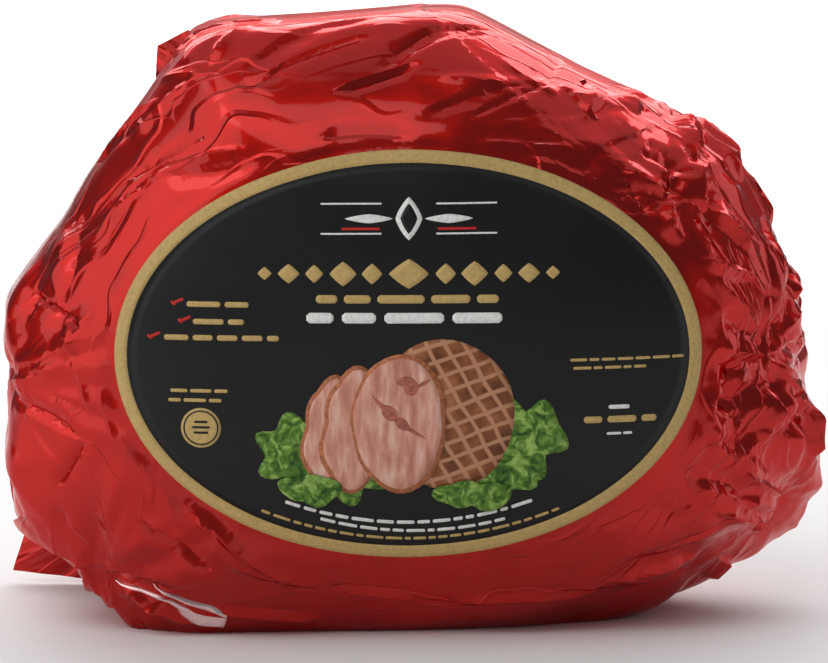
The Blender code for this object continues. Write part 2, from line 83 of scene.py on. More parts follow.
# The outline's middle lies this far left of the point that the surface is drawn around
OUTLINE_SHIFT = -0.004
OUTLINE = (
    (-0.543, 0.951), (-0.422, 0.983), (-0.228, 0.984), (0.063, 0.999), (0.209, 0.989),
    (0.354, 0.944), (0.549, 0.876), (0.694, 0.828), (0.791, 0.782), (0.851, 0.737),
    (0.907, 0.678), (0.956, 0.620), (0.990, 0.537), (1.000, 0.429), (0.998, 0.279),
    (0.980, 0.221), (0.937, 0.166), (0.791, 0.068), (0.726, 0.033), (0.550, -0.005),
    (0.353, -0.040), (0.000, -0.050), (-0.515, -0.040), (-0.690, -0.015), (-0.743, 0.020),
    (-0.859, 0.113), (-0.951, 0.163), (-0.995, 0.260), (-0.976, 0.379), (-0.985, 0.462),
    (-0.980, 0.529), (-0.912, 0.612), (-0.840, 0.678), (-0.791, 0.745), (-0.711, 0.811),
    (-0.640, 0.861),
)
PANEL_SEED = 11
PANEL_RINGS = ((-66, 6), (-42, 9), (-18, 12), (6, 14), (27, 14), (46, 11), (68, 6))
PANEL_JITTER = 9.0
PANEL_EDGE_POWER = 90.0
LEAST_FACING = 0.001
# How far the film is drawn to flat panels, on the front and behind, and where it goes over along Y
TAUT_SHARES = (0.55, 0.75)
TAUT_ALONG = (-0.035, 0.010)

# Main folds on the front, as in the solids: both ends (x, z) as seen from the front, height, half
# width and sideways bow, in millimetres. A height under zero is a valley.
Fold = namedtuple("Fold", "x1 z1 x2 z2 height half_width bow")
FRONT_FOLDS = tuple(Fold(*row) for row in (
    # upper left: long soft folds over the cut end's shoulder
    (-40, 196, -66, 180, 1.6, 5.0, 0.0),
    (-80, 171, -103, 152, 2.0, 5.0, 1.0),
    (-87, 162, -104, 150, -1.4, 5.0, 0.0),
    (-65, 180, -80, 176, 1.6, 4.0, 0.0),
    (-71, 177, -89, 159, 2.0, 6.0, -1.0),
    (-64, 163, -85, 151, -1.7, 5.0, 0.0),
    (-112, 128, -84, 148, -2.1, 8.0, -2.0),
    (-80, 149, -47, 156, -2.1, 8.0, -2.0),
    (-30, 161, 2, 161, -1.8, 7.0, 2.0),
    # top: slanted folds that run up to the rim
    (-54, 180, -10, 196, -2.5, 8.0, 3.0),
    (-55, 176, -39, 181, -1.6, 5.0, 0.0),
    (-24, 175, 2, 184, -2.1, 6.0, 0.0),
    (-11, 181, 27, 192, -3.1, 9.0, 2.0),
    (1, 167, 43, 177, -2.3, 7.0, 1.0),
    (43, 177, 50, 185, -2.0, 6.0, 0.0),
    (21, 160, 52, 157, 1.8, 5.0, 0.0),
    (60, 176, 54, 165, 1.8, 5.0, 0.0),
    (69, 175, 73, 166, 2.1, 6.0, 0.0),
    (28, 185, 47, 172, 1.6, 8.0, 0.0),
    # upper right: folds that fall from the rim
    (85, 166, 106, 142, 3.1, 7.0, 2.0),
    (86, 165, 90, 152, 2.6, 6.0, 0.0),
    (90, 152, 94, 136, 2.6, 6.0, -2.0),
    (94, 136, 108, 122, 2.6, 6.0, 2.0),
    (82, 142, 66, 149, 2.0, 6.0, 0.0),
    (82, 142, 82, 126, 2.3, 6.0, -2.0),
    (82, 142, 92, 135, 1.7, 5.0, 0.0),
    (89, 121, 107, 115, 2.3, 6.0, 0.0),
    (98, 160, 123, 122, 3.1, 8.0, -2.0),
    (123, 122, 132, 104, 2.6, 7.0, 0.0),
    (119, 135, 125, 107, -3.6, 5.0, 0.0),
    (72, 156, 89, 147, -2.3, 7.0, 0.0),
    # right: the gathered film beside the shank
    (114, 89, 113, 113, -3.1, 6.0, 0.0),
    (114, 89, 125, 95, 2.6, 5.0, 0.0),
    (114, 89, 127, 75, 2.9, 5.0, 0.0),
    (103, 92, 114, 89, 2.6, 5.0, 0.0),
    (103, 91, 100, 71, -3.6, 6.0, 1.0),
    (91, 81, 96, 61, 2.3, 5.0, 0.0),
    (97, 82, 102, 62, 2.1, 5.0, 0.0),
    (128, 71, 132, 52, 4.2, 6.0, 0.0),
    (104, 56, 113, 67, 2.3, 6.0, 0.0),
    (104, 56, 95, 64, 2.0, 5.0, 0.0),
    (112, 80, 117, 61, 2.9, 7.0, 0.0),
    # lower right: long folds that run to the bottom corner
    (93, 43, 121, 33, 2.6, 6.0, 0.0),
    (91, 50, 105, 44, 2.1, 5.0, 0.0),
    (105, 44, 125, 36, 2.3, 5.0, 0.0),
    (111, 28, 126, 33, 2.3, 5.0, 0.0),
    (99, 10, 105, 19, 2.9, 6.0, 0.0),
    (66, 26, 93, 30, -2.3, 8.0, 0.0),
    (47, 17, 90, 20, 2.3, 9.0, 2.0),
    # left: dark slanted folds
    (-122, 111, -104, 100, -3.1, 8.0, 0.0),
    (-127, 79, -104, 65, -2.9, 7.0, 1.0),
    (-104, 65, -113, 48, -2.0, 6.0, 0.0),
    (-128, 83, -114, 86, -2.3, 5.0, 0.0),
    (-132, 49, -129, 36, 2.1, 5.0, 0.0),
    (-113, 84, -99, 110, 1.8, 9.0, 0.0),
    # lower left: long pleats from the label down to the floor
    (-78, 57, -68, 38, 2.1, 6.0, -2.0),
    (-68, 38, -30, 17, 2.3, 7.0, -3.0),
    (-86, 42, -60, 23, -2.6, 7.0, 0.0),
    (-101, 24, -68, 19, 2.1, 6.0, 0.0),
    (-72, 51, -51, 34, 1.8, 6.0, -2.0),
    (-51, 34, -27, 16, 1.8, 6.0, -2.0),
    (-94, 19, -65, 5, 2.6, 5.0, 1.0),
    (-82, 19, -63, 8, 2.3, 4.0, 0.0),
    (-103, 25, -98, 12, 2.3, 4.0, 0.0),
    (-27, 19, 18, 12, 2.0, 8.0, 3.0),
    (-113, 44, -101, 28, -2.1, 6.0, 0.0),
))
Fan = namedtuple("Fan", "x z folds reach height pinch seed")
FRONT_FANS = tuple(Fan(*row) for row in (
    (116, 88, 22, 62.0, 2.2, 4.0, 3),
    (125, 37, 20, 75.0, 2.4, 4.0, 5),
    (86, 165, 12, 34.0, 1.6, 2.0, 8),
    (82, 142, 11, 30.0, 1.4, 1.6, 13),
    (-127, 83, 10, 40.0, 1.2, 2.5, 17),
    (-100, 18, 12, 50.0, 1.6, 1.5, 21),
    (135, 80, 18, 60.0, 2.8, 2.5, 29),
))
FAN_START = 0.10
PINCH_SHARE = 0.16
LEAST_HALF_WIDTH = 0.003
# Rays that fall less steeply than this are not stopped at the floor
LEAST_FALL = 0.01
# A gather's folds: reach, height and width as shares of what its row says, height of every other one,
# and how unevenly they are turned, as a share of the turn between them
FAN_REACHES = (0.45, 1.0)
FAN_HEIGHTS = (0.5, 1.0)
FAN_WIDTHS = (0.8, 1.1)
FAN_VALLEY = -0.7
FAN_UNEVEN = 0.3
# Narrowest that a crease gets where it flares, as a share of its half width
LEAST_FLARE = 0.15
BACK_FOLDS = 46
BACK_FOLD_SEED = 23
BACK_LENGTHS = (30.0, 85.0)
BACK_HEIGHTS = (-2.2, 2.6)
BACK_HALF_WIDTHS = (6.0, 10.0)
BACK_BOW = 3.0
BACK_START = 0.18
CREASE_TAPER = 0.4
CREASE_DEPTH = 0.035

# Sharp narrow pleats on the front, listed as the folds are
SHARP_PLEATS = tuple(Fold(*row) for row in (
    # upper left
    (-104, 150, -80, 171, 1.1, 1.5, 0.0),
    (-103, 154, -82, 169, 0.9, 1.3, 0.0),
    (-81, 176, -40, 196, 1.1, 1.6, 2.0),
    (-93, 146, -63, 163, -1.0, 1.5, 0.0),
    (-84, 148, -50, 158, 0.8, 1.6, 1.0),
    (-112, 128, -83, 146, 0.9, 1.6, -1.0),
    (-50, 178, -9, 191, -0.9, 1.6, 2.0),
    # top
    (-26, 175, 4, 184, -1.0, 1.6, 0.0),
    (-7, 185, 28, 193, -1.1, 1.7, 2.0),
    (18, 167, 47, 177, -1.1, 1.7, 0.0),
    (47, 177, 60, 165, 1.0, 1.5, 0.0),
    # upper right
    (85, 166, 103, 153, 1.2, 1.6, 0.0),
    (85, 165, 94, 137, 1.1, 1.6, -2.0),
    (94, 137, 108, 122, 1.1, 1.6, 1.0),
    (81, 143, 92, 135, 1.0, 1.4, 0.0),
    (89, 122, 110, 114, 1.2, 1.6, 0.0),
    (110, 154, 127, 105, 1.3, 1.8, -2.0),
    (123, 137, 127, 96, 1.2, 1.6, 0.0),
    (67, 148, 76, 135, -0.9, 1.4, 0.0),
    (103, 109, 114, 90, 1.1, 1.5, 0.0),
    # right and lower right
    (115, 88, 128, 67, 1.1, 1.5, 0.0),
    (98, 82, 104, 60, 1.2, 1.6, 0.0),
    (93, 43, 122, 33, 1.2, 1.6, 0.0),
    (105, 53, 125, 37, 1.1, 1.5, 0.0),
    (73, 30, 104, 41, -1.0, 1.8, -1.0),
    (60, 20, 95, 25, 1.8, 2.4, 1.0),
    (12, 12, 60, 14, 2.0, 2.6, 2.0),
    # left
    (-121, 110, -104, 100, -1.1, 1.6, 0.0),
    (-126, 79, -104, 65, -1.1, 1.6, 1.0),
    (-104, 65, -113, 49, -1.0, 1.5, 0.0),
    (-113, 109, -101, 72, 0.8, 1.7, 2.0),
    # lower left and bottom
    (-86, 41, -59, 22, -2.0, 2.2, 0.0),
    (-71, 49, -31, 18, 2.3, 2.6, -2.0),
    (-94, 19, -58, 5, 1.8, 2.2, 0.0),
    (-82, 19, -59, 7, 1.3, 1.6, 0.0),
    (-129, 34, -96, 24, 1.2, 1.6, 0.0),
    (-96, 24, -93, 7, 1.2, 1.6, 0.0),
    (-104, 24, -101, 5, 1.1, 1.5, 0.0),
    (-64, 10, -27, 6, 2.0, 2.4, 0.0),
    (-27, 17, 18, 10, -2.0, 2.6, 2.0),
))

# Folds are finer on the calm film than in the gathered film: their share of the given size there,
# and where the film is gathered, in millimetres along the pack
CALM_FOLD_SHARE = 0.50
GATHERED_FROM = (40.0, 90.0)
# How fast the film's finest creases follow each other across its pull
FLOW_RATE = 7.0
# How far the steep side of a fold on the front is drawn in, as a share of its half width
FOLD_LEAN = 0.45
# Width of a crease at its very ends, as a share of its width between them
END_WIDTH = 0.25
# Lesser creases: share that is kept on the calm cut end, largest turn from the nearest main fold
# in degrees, lengths and half widths in millimetres, and steepness of their sides
SMALL_CREASE_CALM = 0.16
SMALL_CREASE_TURN = 11.0
SMALL_CREASE_LENGTHS = (14.0, 75.0)
SMALL_CREASE_HALF_WIDTHS = (0.9, 2.8)
SMALL_CREASE_SLOPES = (0.10, 0.36)
# How much shorter they are toward the shank, and their slope there and on calm film, as shares
SHANK_SHORTENING = 0.2
SLOPE_SHARES = (0.6, 1.0)
# The share of them that are ridges, where the back begins along Y in metres and the share kept there,
# the least freedom from the label, their largest lean and flare as shares of their width, and how far
# they bow as a share of their length
SMALL_CREASE_RIDGES = 0.6
SMALL_CREASE_BACK = (0.02, 0.45)
SMALL_CREASE_CLEAR = 0.15
SMALL_CREASE_LEAN = 0.6
SMALL_CREASE_FLARE = 0.7
SMALL_CREASE_BOW = 0.12
# Where the film goes over from calm to gathered along the pack, in metres from its middle
GATHERED_ALONG = (0.010, 0.085)
# Edges of the film that are sharper than this stay sharp, in degrees
CREASE_SHARP_ANGLE = 24.0

# Flat facets of the film along its pull round the label: how many go round, their step away from the
# front in radians, the farthest from the front, the shares of it between which they fade away, and how
# far their corners stand out or in, in millimetres, on calm and on gathered film
PULL_COLUMNS = 11
PULL_STEP = 0.085
PULL_FARTHEST = 2.1
PULL_FADE = (0.75, 0.95)
PULL_HEIGHTS = (0.17, 0.80)
# The same round each gather: how many go round it, their step outward as a share of the distance,
# the nearest and farthest in millimetres, the share of the farthest from which they fade away, and how
# far their corners stand out or in, as a share of their distance, up to half the farthest
GATHER_COLUMNS = 32
GATHER_STEP = 0.85
GATHER_REACH = (2.5, 90.0)
GATHER_FADE = 0.45
GATHER_HEIGHT = 0.052
# Where one gather takes over from its neighbour, as a share of the way between them, and where the
# facets end behind the rim, along Y in metres
GATHER_TURNOVER = (-0.2, 0.2)
GATHER_BEHIND = (-0.01, 0.015)
# Heights from the ham's middle between which the film gathers toward its base, in metres
GATHERED_BELOW = (-0.082, -0.050)
FACET_SEED = 12
# How far a facet's corner strays from its place, as a share of the step between them
FACET_JITTER = 0.42
# A facet's edge is measured at this many points, and left out where both its ends stand out or in by
# less than this, in metres
EDGE_POINTS = 13
FLAT_FACET = 1e-5

# The ham's rough proportions and area, and the height of a triangle as a share of its side
HAM_PROPORTIONS = (1.36, 0.80, 1.0)
HAM_AREA = 4 * math.pi * 0.0113
TRIANGLE_ROW = 0.866
# Spacing of the film's corners, in metres: along the creases and between them
ROW_SPACING = 0.0012
ROW_CLEARANCE = 0.0007
BACK_SPACING = 0.0023
PLAIN_SPACING = 0.0045
FRONT_ZONE_DEPTH = 0.012
FRONT_SPACING_MOST = 0.0012
FILL_SHARE = 0.75

# The label: thickness of its sheet and of each layer of ink, which is sunk a little into it
LABEL_SHEET = 0.0003
INK_LAYER = 0.00007
INK_SUNK = 0.00002
WHITE_INK = (0.80, 0.79, 0.76)
RED_INK = (0.55, 0.02, 0.018)
# Places on the label, in millimetres from its middle
CREST_HEIGHT = 43.5
TITLE_HEIGHT = 26.5
TITLE_LOZENGES = (
    (0.0, 6.2, 4.6), (-11.5, 3.2, 3.2), (11.5, 3.2, 3.2), (-20.5, 4.2, 3.8), (20.5, 4.2, 3.8),
    (-29.5, 2.8, 2.8), (29.5, 2.8, 2.8), (-37.5, 3.4, 3.0), (37.5, 3.4, 3.0), (-45.0, 2.2, 2.0),
    (45.0, 2.2, 2.0),
)
SEAL_CENTRE = (-65.2, -22.3)
SEAL_RADIUS = 6.3
SEAL_RING = (5.1, 5.55)
SEAL_BARS = ((1.9, 4.2), (0.2, 5.6), (-1.5, 4.6))
# Rows of short bars: middle x, y, length, height of the bars, rise to both ends
GOLD_ROWS = (
    (0.0, 18.6, 58.0, 2.6), (-59.0, 16.6, 21.0, 1.7), (-59.5, 11.2, 16.0, 1.7),
    (-58.6, 6.2, 36.0, 1.7), (-65.7, -10.6, 18.0, 1.1), (-65.9, -13.6, 19.0, 1.1),
    (68.5, -1.0, 36.0, 0.9), (64.0, -3.6, 25.0, 0.9), (66.4, -20.1, 23.0, 2.1),
    (0.5, -58.0, 94.0, 0.9, 9.5),
)
WHITE_ROWS = (
    (0.0, 12.7, 64.0, 3.3), (66.0, -16.2, 6.6, 1.3), (66.2, -24.6, 8.0, 0.8),
    (0.0, -52.6, 78.0, 1.1, 7.0), (2.0, -55.4, 60.0, 1.0, 4.2),
)
# The middles of the small red marks
RED_MARKS = ((-72.8, 17.0), (-70.6, 11.5), (-80.2, 6.4))
# A bar of print: length of its faces, its softened ends and their height as a share of its own, and
# the lengths of bars in a row and the gaps between them as shares of their height
BAR_STEP = 2.5
BAR_END = 0.3
BAR_END_HEIGHT = 0.45
BAR_LENGTHS = (2.2, 6.5)
BAR_GAP = 0.8
SHORTEST_BAR = 1.5
# The picture, from its lowest layer up: each shape's middle and its rim about that middle
PICTURE = (
    ("picture_leaves_behind", "leaf", (
        ((-33.0, -30.0), (
            (14, 3), (8, 9), (2, 8), (-5, 13), (-9, 7), (-15, 6),
            (-12, -1), (-14, -7), (-5, -8), (0, -13), (7, -9), (13, -8),
        )),
        ((34.0, -26.0), (
            (13, 5), (8, 13), (3, 9), (-4, 14), (-10, 7), (-12, -4),
            (-6, -10), (1, -9), (8, -13), (9, -5), (16, -3),
        )),
        ((-22.0, -37.0), (
            (12, 3), (4, 7), (-6, 6), (-12, 4), (-9, -3),
            (-12, -8), (-2, -6), (5, -10), (8, -4), (15, -5),
        )),
        ((24.0, -38.0), (
            (14, 4), (5, 6), (-8, 6), (-13, -1), (-8, -6),
            (-1, -5), (6, -9), (9, -4), (16, -4),
        )),
    )),
    ("picture_rind", "rind", (
        ((9.0, -18.0), (
            (24, 0), (22, 11), (14, 20), (3, 24), (-9, 21), (-16, 10),
            (-17, -6), (-9, -19), (4, -24), (16, -19), (22, -10),
        )),
    )),
    ("picture_slice_far", "edge", (
        ((-24.5, -24.0), ((8, 0), (7, 12), (2, 19), (-4, 14), (-8, 2), (-7, -12), (-1, -18), (5, -13))),
    )),
    ("picture_slice_far_face", "flesh", (
        ((-24.3, -24.0), (
            (7.2, 0), (6.2, 11), (2, 17.6), (-3.4, 13),
            (-7.0, 2), (-6.2, -11), (-1, -16.8), (4.4, -12),
        )),
    )),
    ("picture_slice_near", "edge", (
        ((-17.5, -23.0), ((9, 0), (8, 13), (2, 21), (-5, 15), (-9, 2), (-8, -13), (-1, -20), (6, -14))),
    )),
    ("picture_slice_near_face", "flesh", (
        ((-17.2, -23.0), (
            (8.2, 0), (7.2, 12), (2, 19.6), (-4.4, 14),
            (-8.0, 2), (-7.1, -12), (-1, -18.8), (5.4, -13),
        )),
    )),
    ("picture_cut", "edge", (
        ((-3.5, -20.0), (
            (15, 2), (13, 13), (5, 21), (-6, 19), (-13, 9),
            (-14, -5), (-9, -17), (1, -23), (10, -18), (14, -9),
        )),
    )),
    ("picture_cut_face", "flesh", (
        ((-3.7, -20.0), (
            (13.8, 2), (11.8, 12), (4.6, 19.6), (-5.6, 17.6), (-12, 8.4),
            (-12.9, -5), (-8.2, -15.8), (1, -21.5), (9.1, -16.8), (12.8, -8.5),
        )),
    )),
    ("picture_seams", "seam", (
        ((-4.0, -19.0), (
            (9.5, -6.5), (4, -2.2), (0.5, 0.6), (-4, 4.4),
            (-8, 8.8), (-4.6, 3.2), (-0.5, -0.7), (4, -3.6),
        )),
        ((1.5, -9.5), ((5.4, 3.2), (1.4, 1.4), (-3.2, 0.9), (-5.6, 1.6), (-3.0, -0.1), (1.4, 0.3))),
    )),
    ("picture_leaves_front", "leaf", (
        ((-31.0, -42.0), (
            (10, 1), (4, 4.5), (-4, 4), (-10, 3),
            (-7, -2), (-2, -3.5), (4, -5), (7, -2.5),
        )),
        ((20.0, -44.0), ((12, 2), (3, 4), (-6, 4), (-13, 1), (-7, -2.5), (0, -3), (7, -4.5))),
    )),
)

# The picture's inks: name, colour, roughness and speckle; and its toned foods: name, scale along each
# axis, turn in degrees, noise, tones, roughness and the colour of crossing lines
PICTURE_INKS = {
    "seam": ("meat_seam", (0.40, 0.12, 0.085), 0.5, 0.3),
    "edge": ("glazed_edge", (0.42, 0.14, 0.06), 0.45, 0.35),
}
PICTURE_TONES = {
    "rind": (
        "roasted_rind", (1.0, 1.0, 1.0), 38.0, {"scale": 160.0, "detail": 3.0},
        ((0.3, (0.10, 0.028, 0.012)), (0.55, (0.26, 0.085, 0.03)), (0.8, (0.45, 0.17, 0.07))),
        0.45, (0.50, 0.24, 0.13),
    ),
    "flesh": (
        "pink_meat", (1.0, 1.0, 0.22), 24.0, {"scale": 420.0, "detail": 3.0},
        ((0.3, (0.50, 0.19, 0.14)), (0.5, (0.66, 0.31, 0.23)), (0.7, (0.80, 0.50, 0.40))),
        0.5,
    ),
    "leaf": (
        "leaf_green", (1.0, 1.0, 1.0), 0.0, {"scale": 230.0, "detail": 3.0, "distortion": 1.6},
        ((0.32, (0.02, 0.065, 0.008)), (0.5, (0.10, 0.22, 0.025)), (0.68, (0.34, 0.50, 0.12))),
        0.5,
    ),
}
PRINT_GLOSS = 0.25
# The grain of print: strength and depth in metres; and the rings and sides of the picture's shapes
PRINT_GRAIN = (0.15, 0.00004)
PICTURE_FACES = (8, 64)
# The film's finish: its clear gloss over red-edged metal, its deeper tone as a share of each channel,
# its least and most softness as shares of the setting, how far noise bends the flow of its finest
# creases, and those creases' scale, width, depth in metres and how much of the film is free of them
FOIL_GLOSS = (
    ("Coat Weight", 0.6),
    ("Specular Tint", (1.0, 0.25, 0.22, 1.0)),
    ("Coat Roughness", 0.06),
    ("Coat IOR", 1.50),
)
FOIL_DEEP = (0.84, 0.7, 0.7)
FOIL_SOFTNESS = (0.85, 1.2)
FLOW_WARP = (0.9, 0.9, 3.2)
FINE_CREASES = ((0.8, 0.035, 0.00045, 0.42), (2.1, 0.045, 0.00022, 0.52))

# Loose corners of film: root and free edge, each by three points, and how far they billow, in metres
Flap = namedtuple("Flap", "name root edge billow")
FLAPS = (
    Flap(
        "film_ear",
        ((-0.0800, 0.010, 0.1700), (-0.0740, 0.008, 0.1780), (-0.0660, 0.004, 0.1860)),
        ((-0.0846, 0.012, 0.1755), (-0.0838, 0.011, 0.1860), (-0.0735, 0.006, 0.1915)),
        0.0010,
    ),
    Flap(
        "film_fin",
        ((-0.1120, 0.034, 0.0300), (-0.1050, 0.034, 0.0215), (-0.0900, 0.034, 0.0120)),
        ((-0.1310, 0.042, 0.0215), (-0.1368, 0.043, 0.0042), (-0.1030, 0.040, 0.0008)),
        0.0022,
    ),
    Flap(
        "film_tuck",
        ((-0.0820, -0.006, 0.0120), (-0.0900, -0.002, 0.0220), (-0.1020, 0.006, 0.0330)),
        ((-0.0985, -0.004, 0.0008), (-0.1090, 0.004, 0.0075), (-0.1260, 0.014, 0.0270)),
        0.0016,
    ),
)
# Loose film that lies on the pack's front: root and edge through points seen from the front, and how
# far its middle and its edge stand off, all in millimetres, and whether it is drawn pale as a painted
# highlight
LaidFilm = namedtuple("LaidFilm", "name root edge middle_lift edge_lift pale")
LAID_FILMS = (
    LaidFilm(
        "film_hem", ((-120, 42), (-101, 36), (-90, 12)), ((-127, 34), (-104, 25.5), (-97, 8)),
        0.2, 2.6, False,
    ),
    # The two pleats below are drawn pale pink-white: a painted highlight along them
    LaidFilm(
        "film_pleat_long",
        ((-94, 18.6), (-77, 12.9), (-58.5, 6.8)), ((-94, 18.3), (-77.6, 11.7), (-60, 3.2)),
        1.3, 0.0, True,
    ),
    LaidFilm(
        "film_pleat_short",
        ((-82, 18.6), (-70.5, 13.6), (-58, 8.6)), ((-82, 18.4), (-70.9, 12.7), (-58.6, 7.2)),
        1.1, 0.0, True,
    ),
)
LAID_FILM_SUNK = 0.4
# Pale pink-white film colour: a painted highlight on the pleats
PAINTED_HIGHLIGHT_FOIL = (0.95, 0.78, 0.77)

# How far a corner's root is sunk into the pack as a share of its reach; its pleats, their depth, their
# slant and their share of the depth at root and edge; its half waves; the film's thickness; the faces
# along and out of a corner, and its least height over the floor
CORNER_TUCK = 0.15
CORNER_PLEATS = 5.0
CORNER_PLEAT_DEPTH = 0.0009
CORNER_PLEAT_SLANT = 0.35
CORNER_PLEAT_SHARES = (0.35, 1.0)
CORNER_WAVES = 3
CORNER_FILM = 0.0003
CORNER_GRID = (46, 34)
LEAST_HEIGHT = 0.0003

WORLD_LIGHT = 0.20
# Soft boxes: name, middle, what they face, sides in metres, and brightness of their face
LIGHTS = (
    ("front_soft", (-0.40, -0.85, 1.35), (0.0, -0.15, 0.05), (1.5, 0.90), 1.40),
    ("ceiling_soft", (-0.1, 0.55, 1.25), (-0.1, 0.55, 0.0), (2.6, 1.5), 0.48),
    ("left_soft", (-1.25, -0.70, 0.70), (0.0, 0.0, 0.15), (1.3, 1.5), 1.25),
    ("right_soft", (1.5, 0.55, 0.6), (0.0, 0.1, 0.2), (0.6, 1.2), 0.95),
    ("back_soft", (0.0, 2.6, 1.05), (0.0, 0.0, 0.3), (3.6, 1.2), 0.40),
    ("backdrop_soft", (0.0, 5.0, 2.6), (0.0, 5.0, 0.0), (7.0, 6.0), 2.4),
)
CAMERA_AIM = (0.0013, 0.0, 0.0922)


def smooth_step(value, low, high):
    share = np.clip((value - low) / (high - low), 0.0, 1.0)
    return share * share * (3.0 - 2.0 * share)


def between(limits, share):
    return limits[0] + (limits[1] - limits[0]) * share


def unit(vectors):
    vectors = np.asarray(vectors, float)
    return vectors / np.linalg.norm(vectors, axis=-1, keepdims=True)


def outline_table():
    """Angles and distances of the rounded outline from the ham's middle, for interpolation."""
    corners = np.array(OUTLINE) * (PACK_LENGTH / 2, PACK_HEIGHT) + (OUTLINE_SHIFT, -MIDDLE_HEIGHT)
    ends = np.roll(corners, -1, axis=0)
    lengths = np.linalg.norm(ends - corners, axis=1)
    walked = np.concatenate([[0.0], np.cumsum(lengths)])
    samples = np.linspace(0.0, walked[-1], OUTLINE_SAMPLES, endpoint=False)
    closed = np.vstack([corners, corners[:1]])
    line = np.stack([np.interp(samples, walked, closed[:, axis]) for axis in (0, 1)], axis=1)
    reach = max(1, round(OUTLINE_ROUNDING / (walked[-1] / OUTLINE_SAMPLES)))
    rounded = sum(np.roll(line, step, axis=0) for step in range(-reach, reach + 1))
    rounded /= 2 * reach + 1
    angles = np.arctan2(rounded[:, 1], rounded[:, 0])
    order = np.argsort(angles)
    return angles[order], np.hypot(rounded[:, 0], rounded[:, 1])[order]


OUTLINE_ANGLES, OUTLINE_RADII = outline_table()


def outline_radius(angle):
    return np.interp(angle, OUTLINE_ANGLES, OUTLINE_RADII, period=math.tau)


def fullness(angle):
    toward_cut_end = (1.0 - np.cos(angle)) / 2.0
    return SHANK_FULLNESS + (CUT_END_FULLNESS - SHANK_FULLNESS) * toward_cut_end**2


def ham_radius(rays):
    """Distance from the ham's middle to its surface along each unit ray."""
    angle = np.arctan2(rays[:, 2], rays[:, 0])
    power = fullness(angle)
    depth = np.where(rays[:, 1] < 0, FRONT_DEPTH, BACK_DEPTH)
    across = np.hypot(rays[:, 0], rays[:, 2]) / outline_radius(angle)
    through = np.abs(rays[:, 1]) / depth
    return (across**power + through**power) ** (-1.0 / power)


def ham_points(rays):
    return rays * ham_radius(rays)[:, None]


def ham_normal(rays):
    """Outward normals of the ham's surface, from points a little way round each ray."""
    aside = unit(np.cross(rays, (0.31, 0.17, 0.93)))
    ahead = np.cross(rays, aside)
    step = 0.01
    rims = [ham_points(unit(rays + step * side)) for side in (aside, ahead, -aside, -ahead)]
    return unit(np.cross(rims[0] - rims[2], rims[1] - rims[3]))


def front_depth(x, height):
    """y of the ham's front, at points seen from the front, with heights from its middle."""
    angle = np.arctan2(height, x)
    power = fullness(angle)
    across = np.minimum(np.hypot(x, height) / outline_radius(angle), RIM_SHARE)
    return -FRONT_DEPTH * (1.0 - across**power) ** (1.0 / power)


def front_rays(x, z):
    """Unit rays from the ham's middle to points seen from the front."""
    x, height = np.asarray(x, float), np.asarray(z, float) - MIDDLE_HEIGHT
    return unit(np.stack([x, front_depth(x, height), height], axis=-1))


def panel_rays():
    """Where the film's flat panels touch the ham: jittered rings from the back to the front."""
    random = np.random.default_rng(PANEL_SEED)
    rays = []
    for tilt, count in PANEL_RINGS:
        for index in range(count):
            around = math.radians(360.0 * index / count + random.uniform(-PANEL_JITTER, PANEL_JITTER))
            lean = math.radians(tilt + random.uniform(-PANEL_JITTER, PANEL_JITTER))
            across = math.cos(lean)
            rays.append((math.cos(around) * across, -math.sin(lean), math.sin(around) * across))
    return np.array(rays)


def panel_radius(rays):
    """Distance to the flat panels, as a soft minimum over the planes that touch the ham."""
    touches = panel_rays()
    normals = ham_normal(touches)
    offsets = np.sum(ham_points(touches) * normals, axis=1)
    facing = np.maximum(rays @ normals.T, LEAST_FACING)
    closeness = (facing / offsets) ** PANEL_EDGE_POWER
    return closeness.sum(axis=1) ** (-1.0 / PANEL_EDGE_POWER)


def beyond_label(points):
    """0 under the label and on its margin, rising to 1 away from it."""
    across = (points[:, 0] - LABEL_CENTRE[0]) / (LABEL_WIDTH / 2)
    upward = (points[:, 2] + MIDDLE_HEIGHT - LABEL_CENTRE[1]) / (LABEL_HEIGHT / 2)
    away = smooth_step(np.hypot(across, upward), *LABEL_MARGIN)
    return np.where(points[:, 1] < 0, away, 1.0)


# A crease is a line over the ham between two rays, with its height, half width and bow in metres.
# lean pushes its crest to one side and flare widens it toward its end, as shares of the half width.
Crease = namedtuple("Crease", "start end height half_width bow lean flare", defaults=(0.0, 0.0))


def front_crease(fold, size=1.0, lean=0.0):
    """A crease along a listed fold, with its height and half width at a share of their size."""
    start, end = front_rays((fold.x1 * MM, fold.x2 * MM), (fold.z1 * MM, fold.z2 * MM))
    size *= MM
    return Crease(start, end, fold.height * size, fold.half_width * size, fold.bow * MM, lean)


def front_creases():
    """The sharp pleats and the main folds of the front, which lean to alternate sides."""
    creases = [front_crease(fold) for fold in SHARP_PLEATS]
    for index, fold in enumerate(FRONT_FOLDS):
        gathered = smooth_step((fold.x1 + fold.x2) / 2, *GATHERED_FROM)
        size = between((CALM_FOLD_SHARE, 1.0), gathered)
        creases.append(front_crease(fold, size, FOLD_LEAN * (-1) ** index))
    return creases


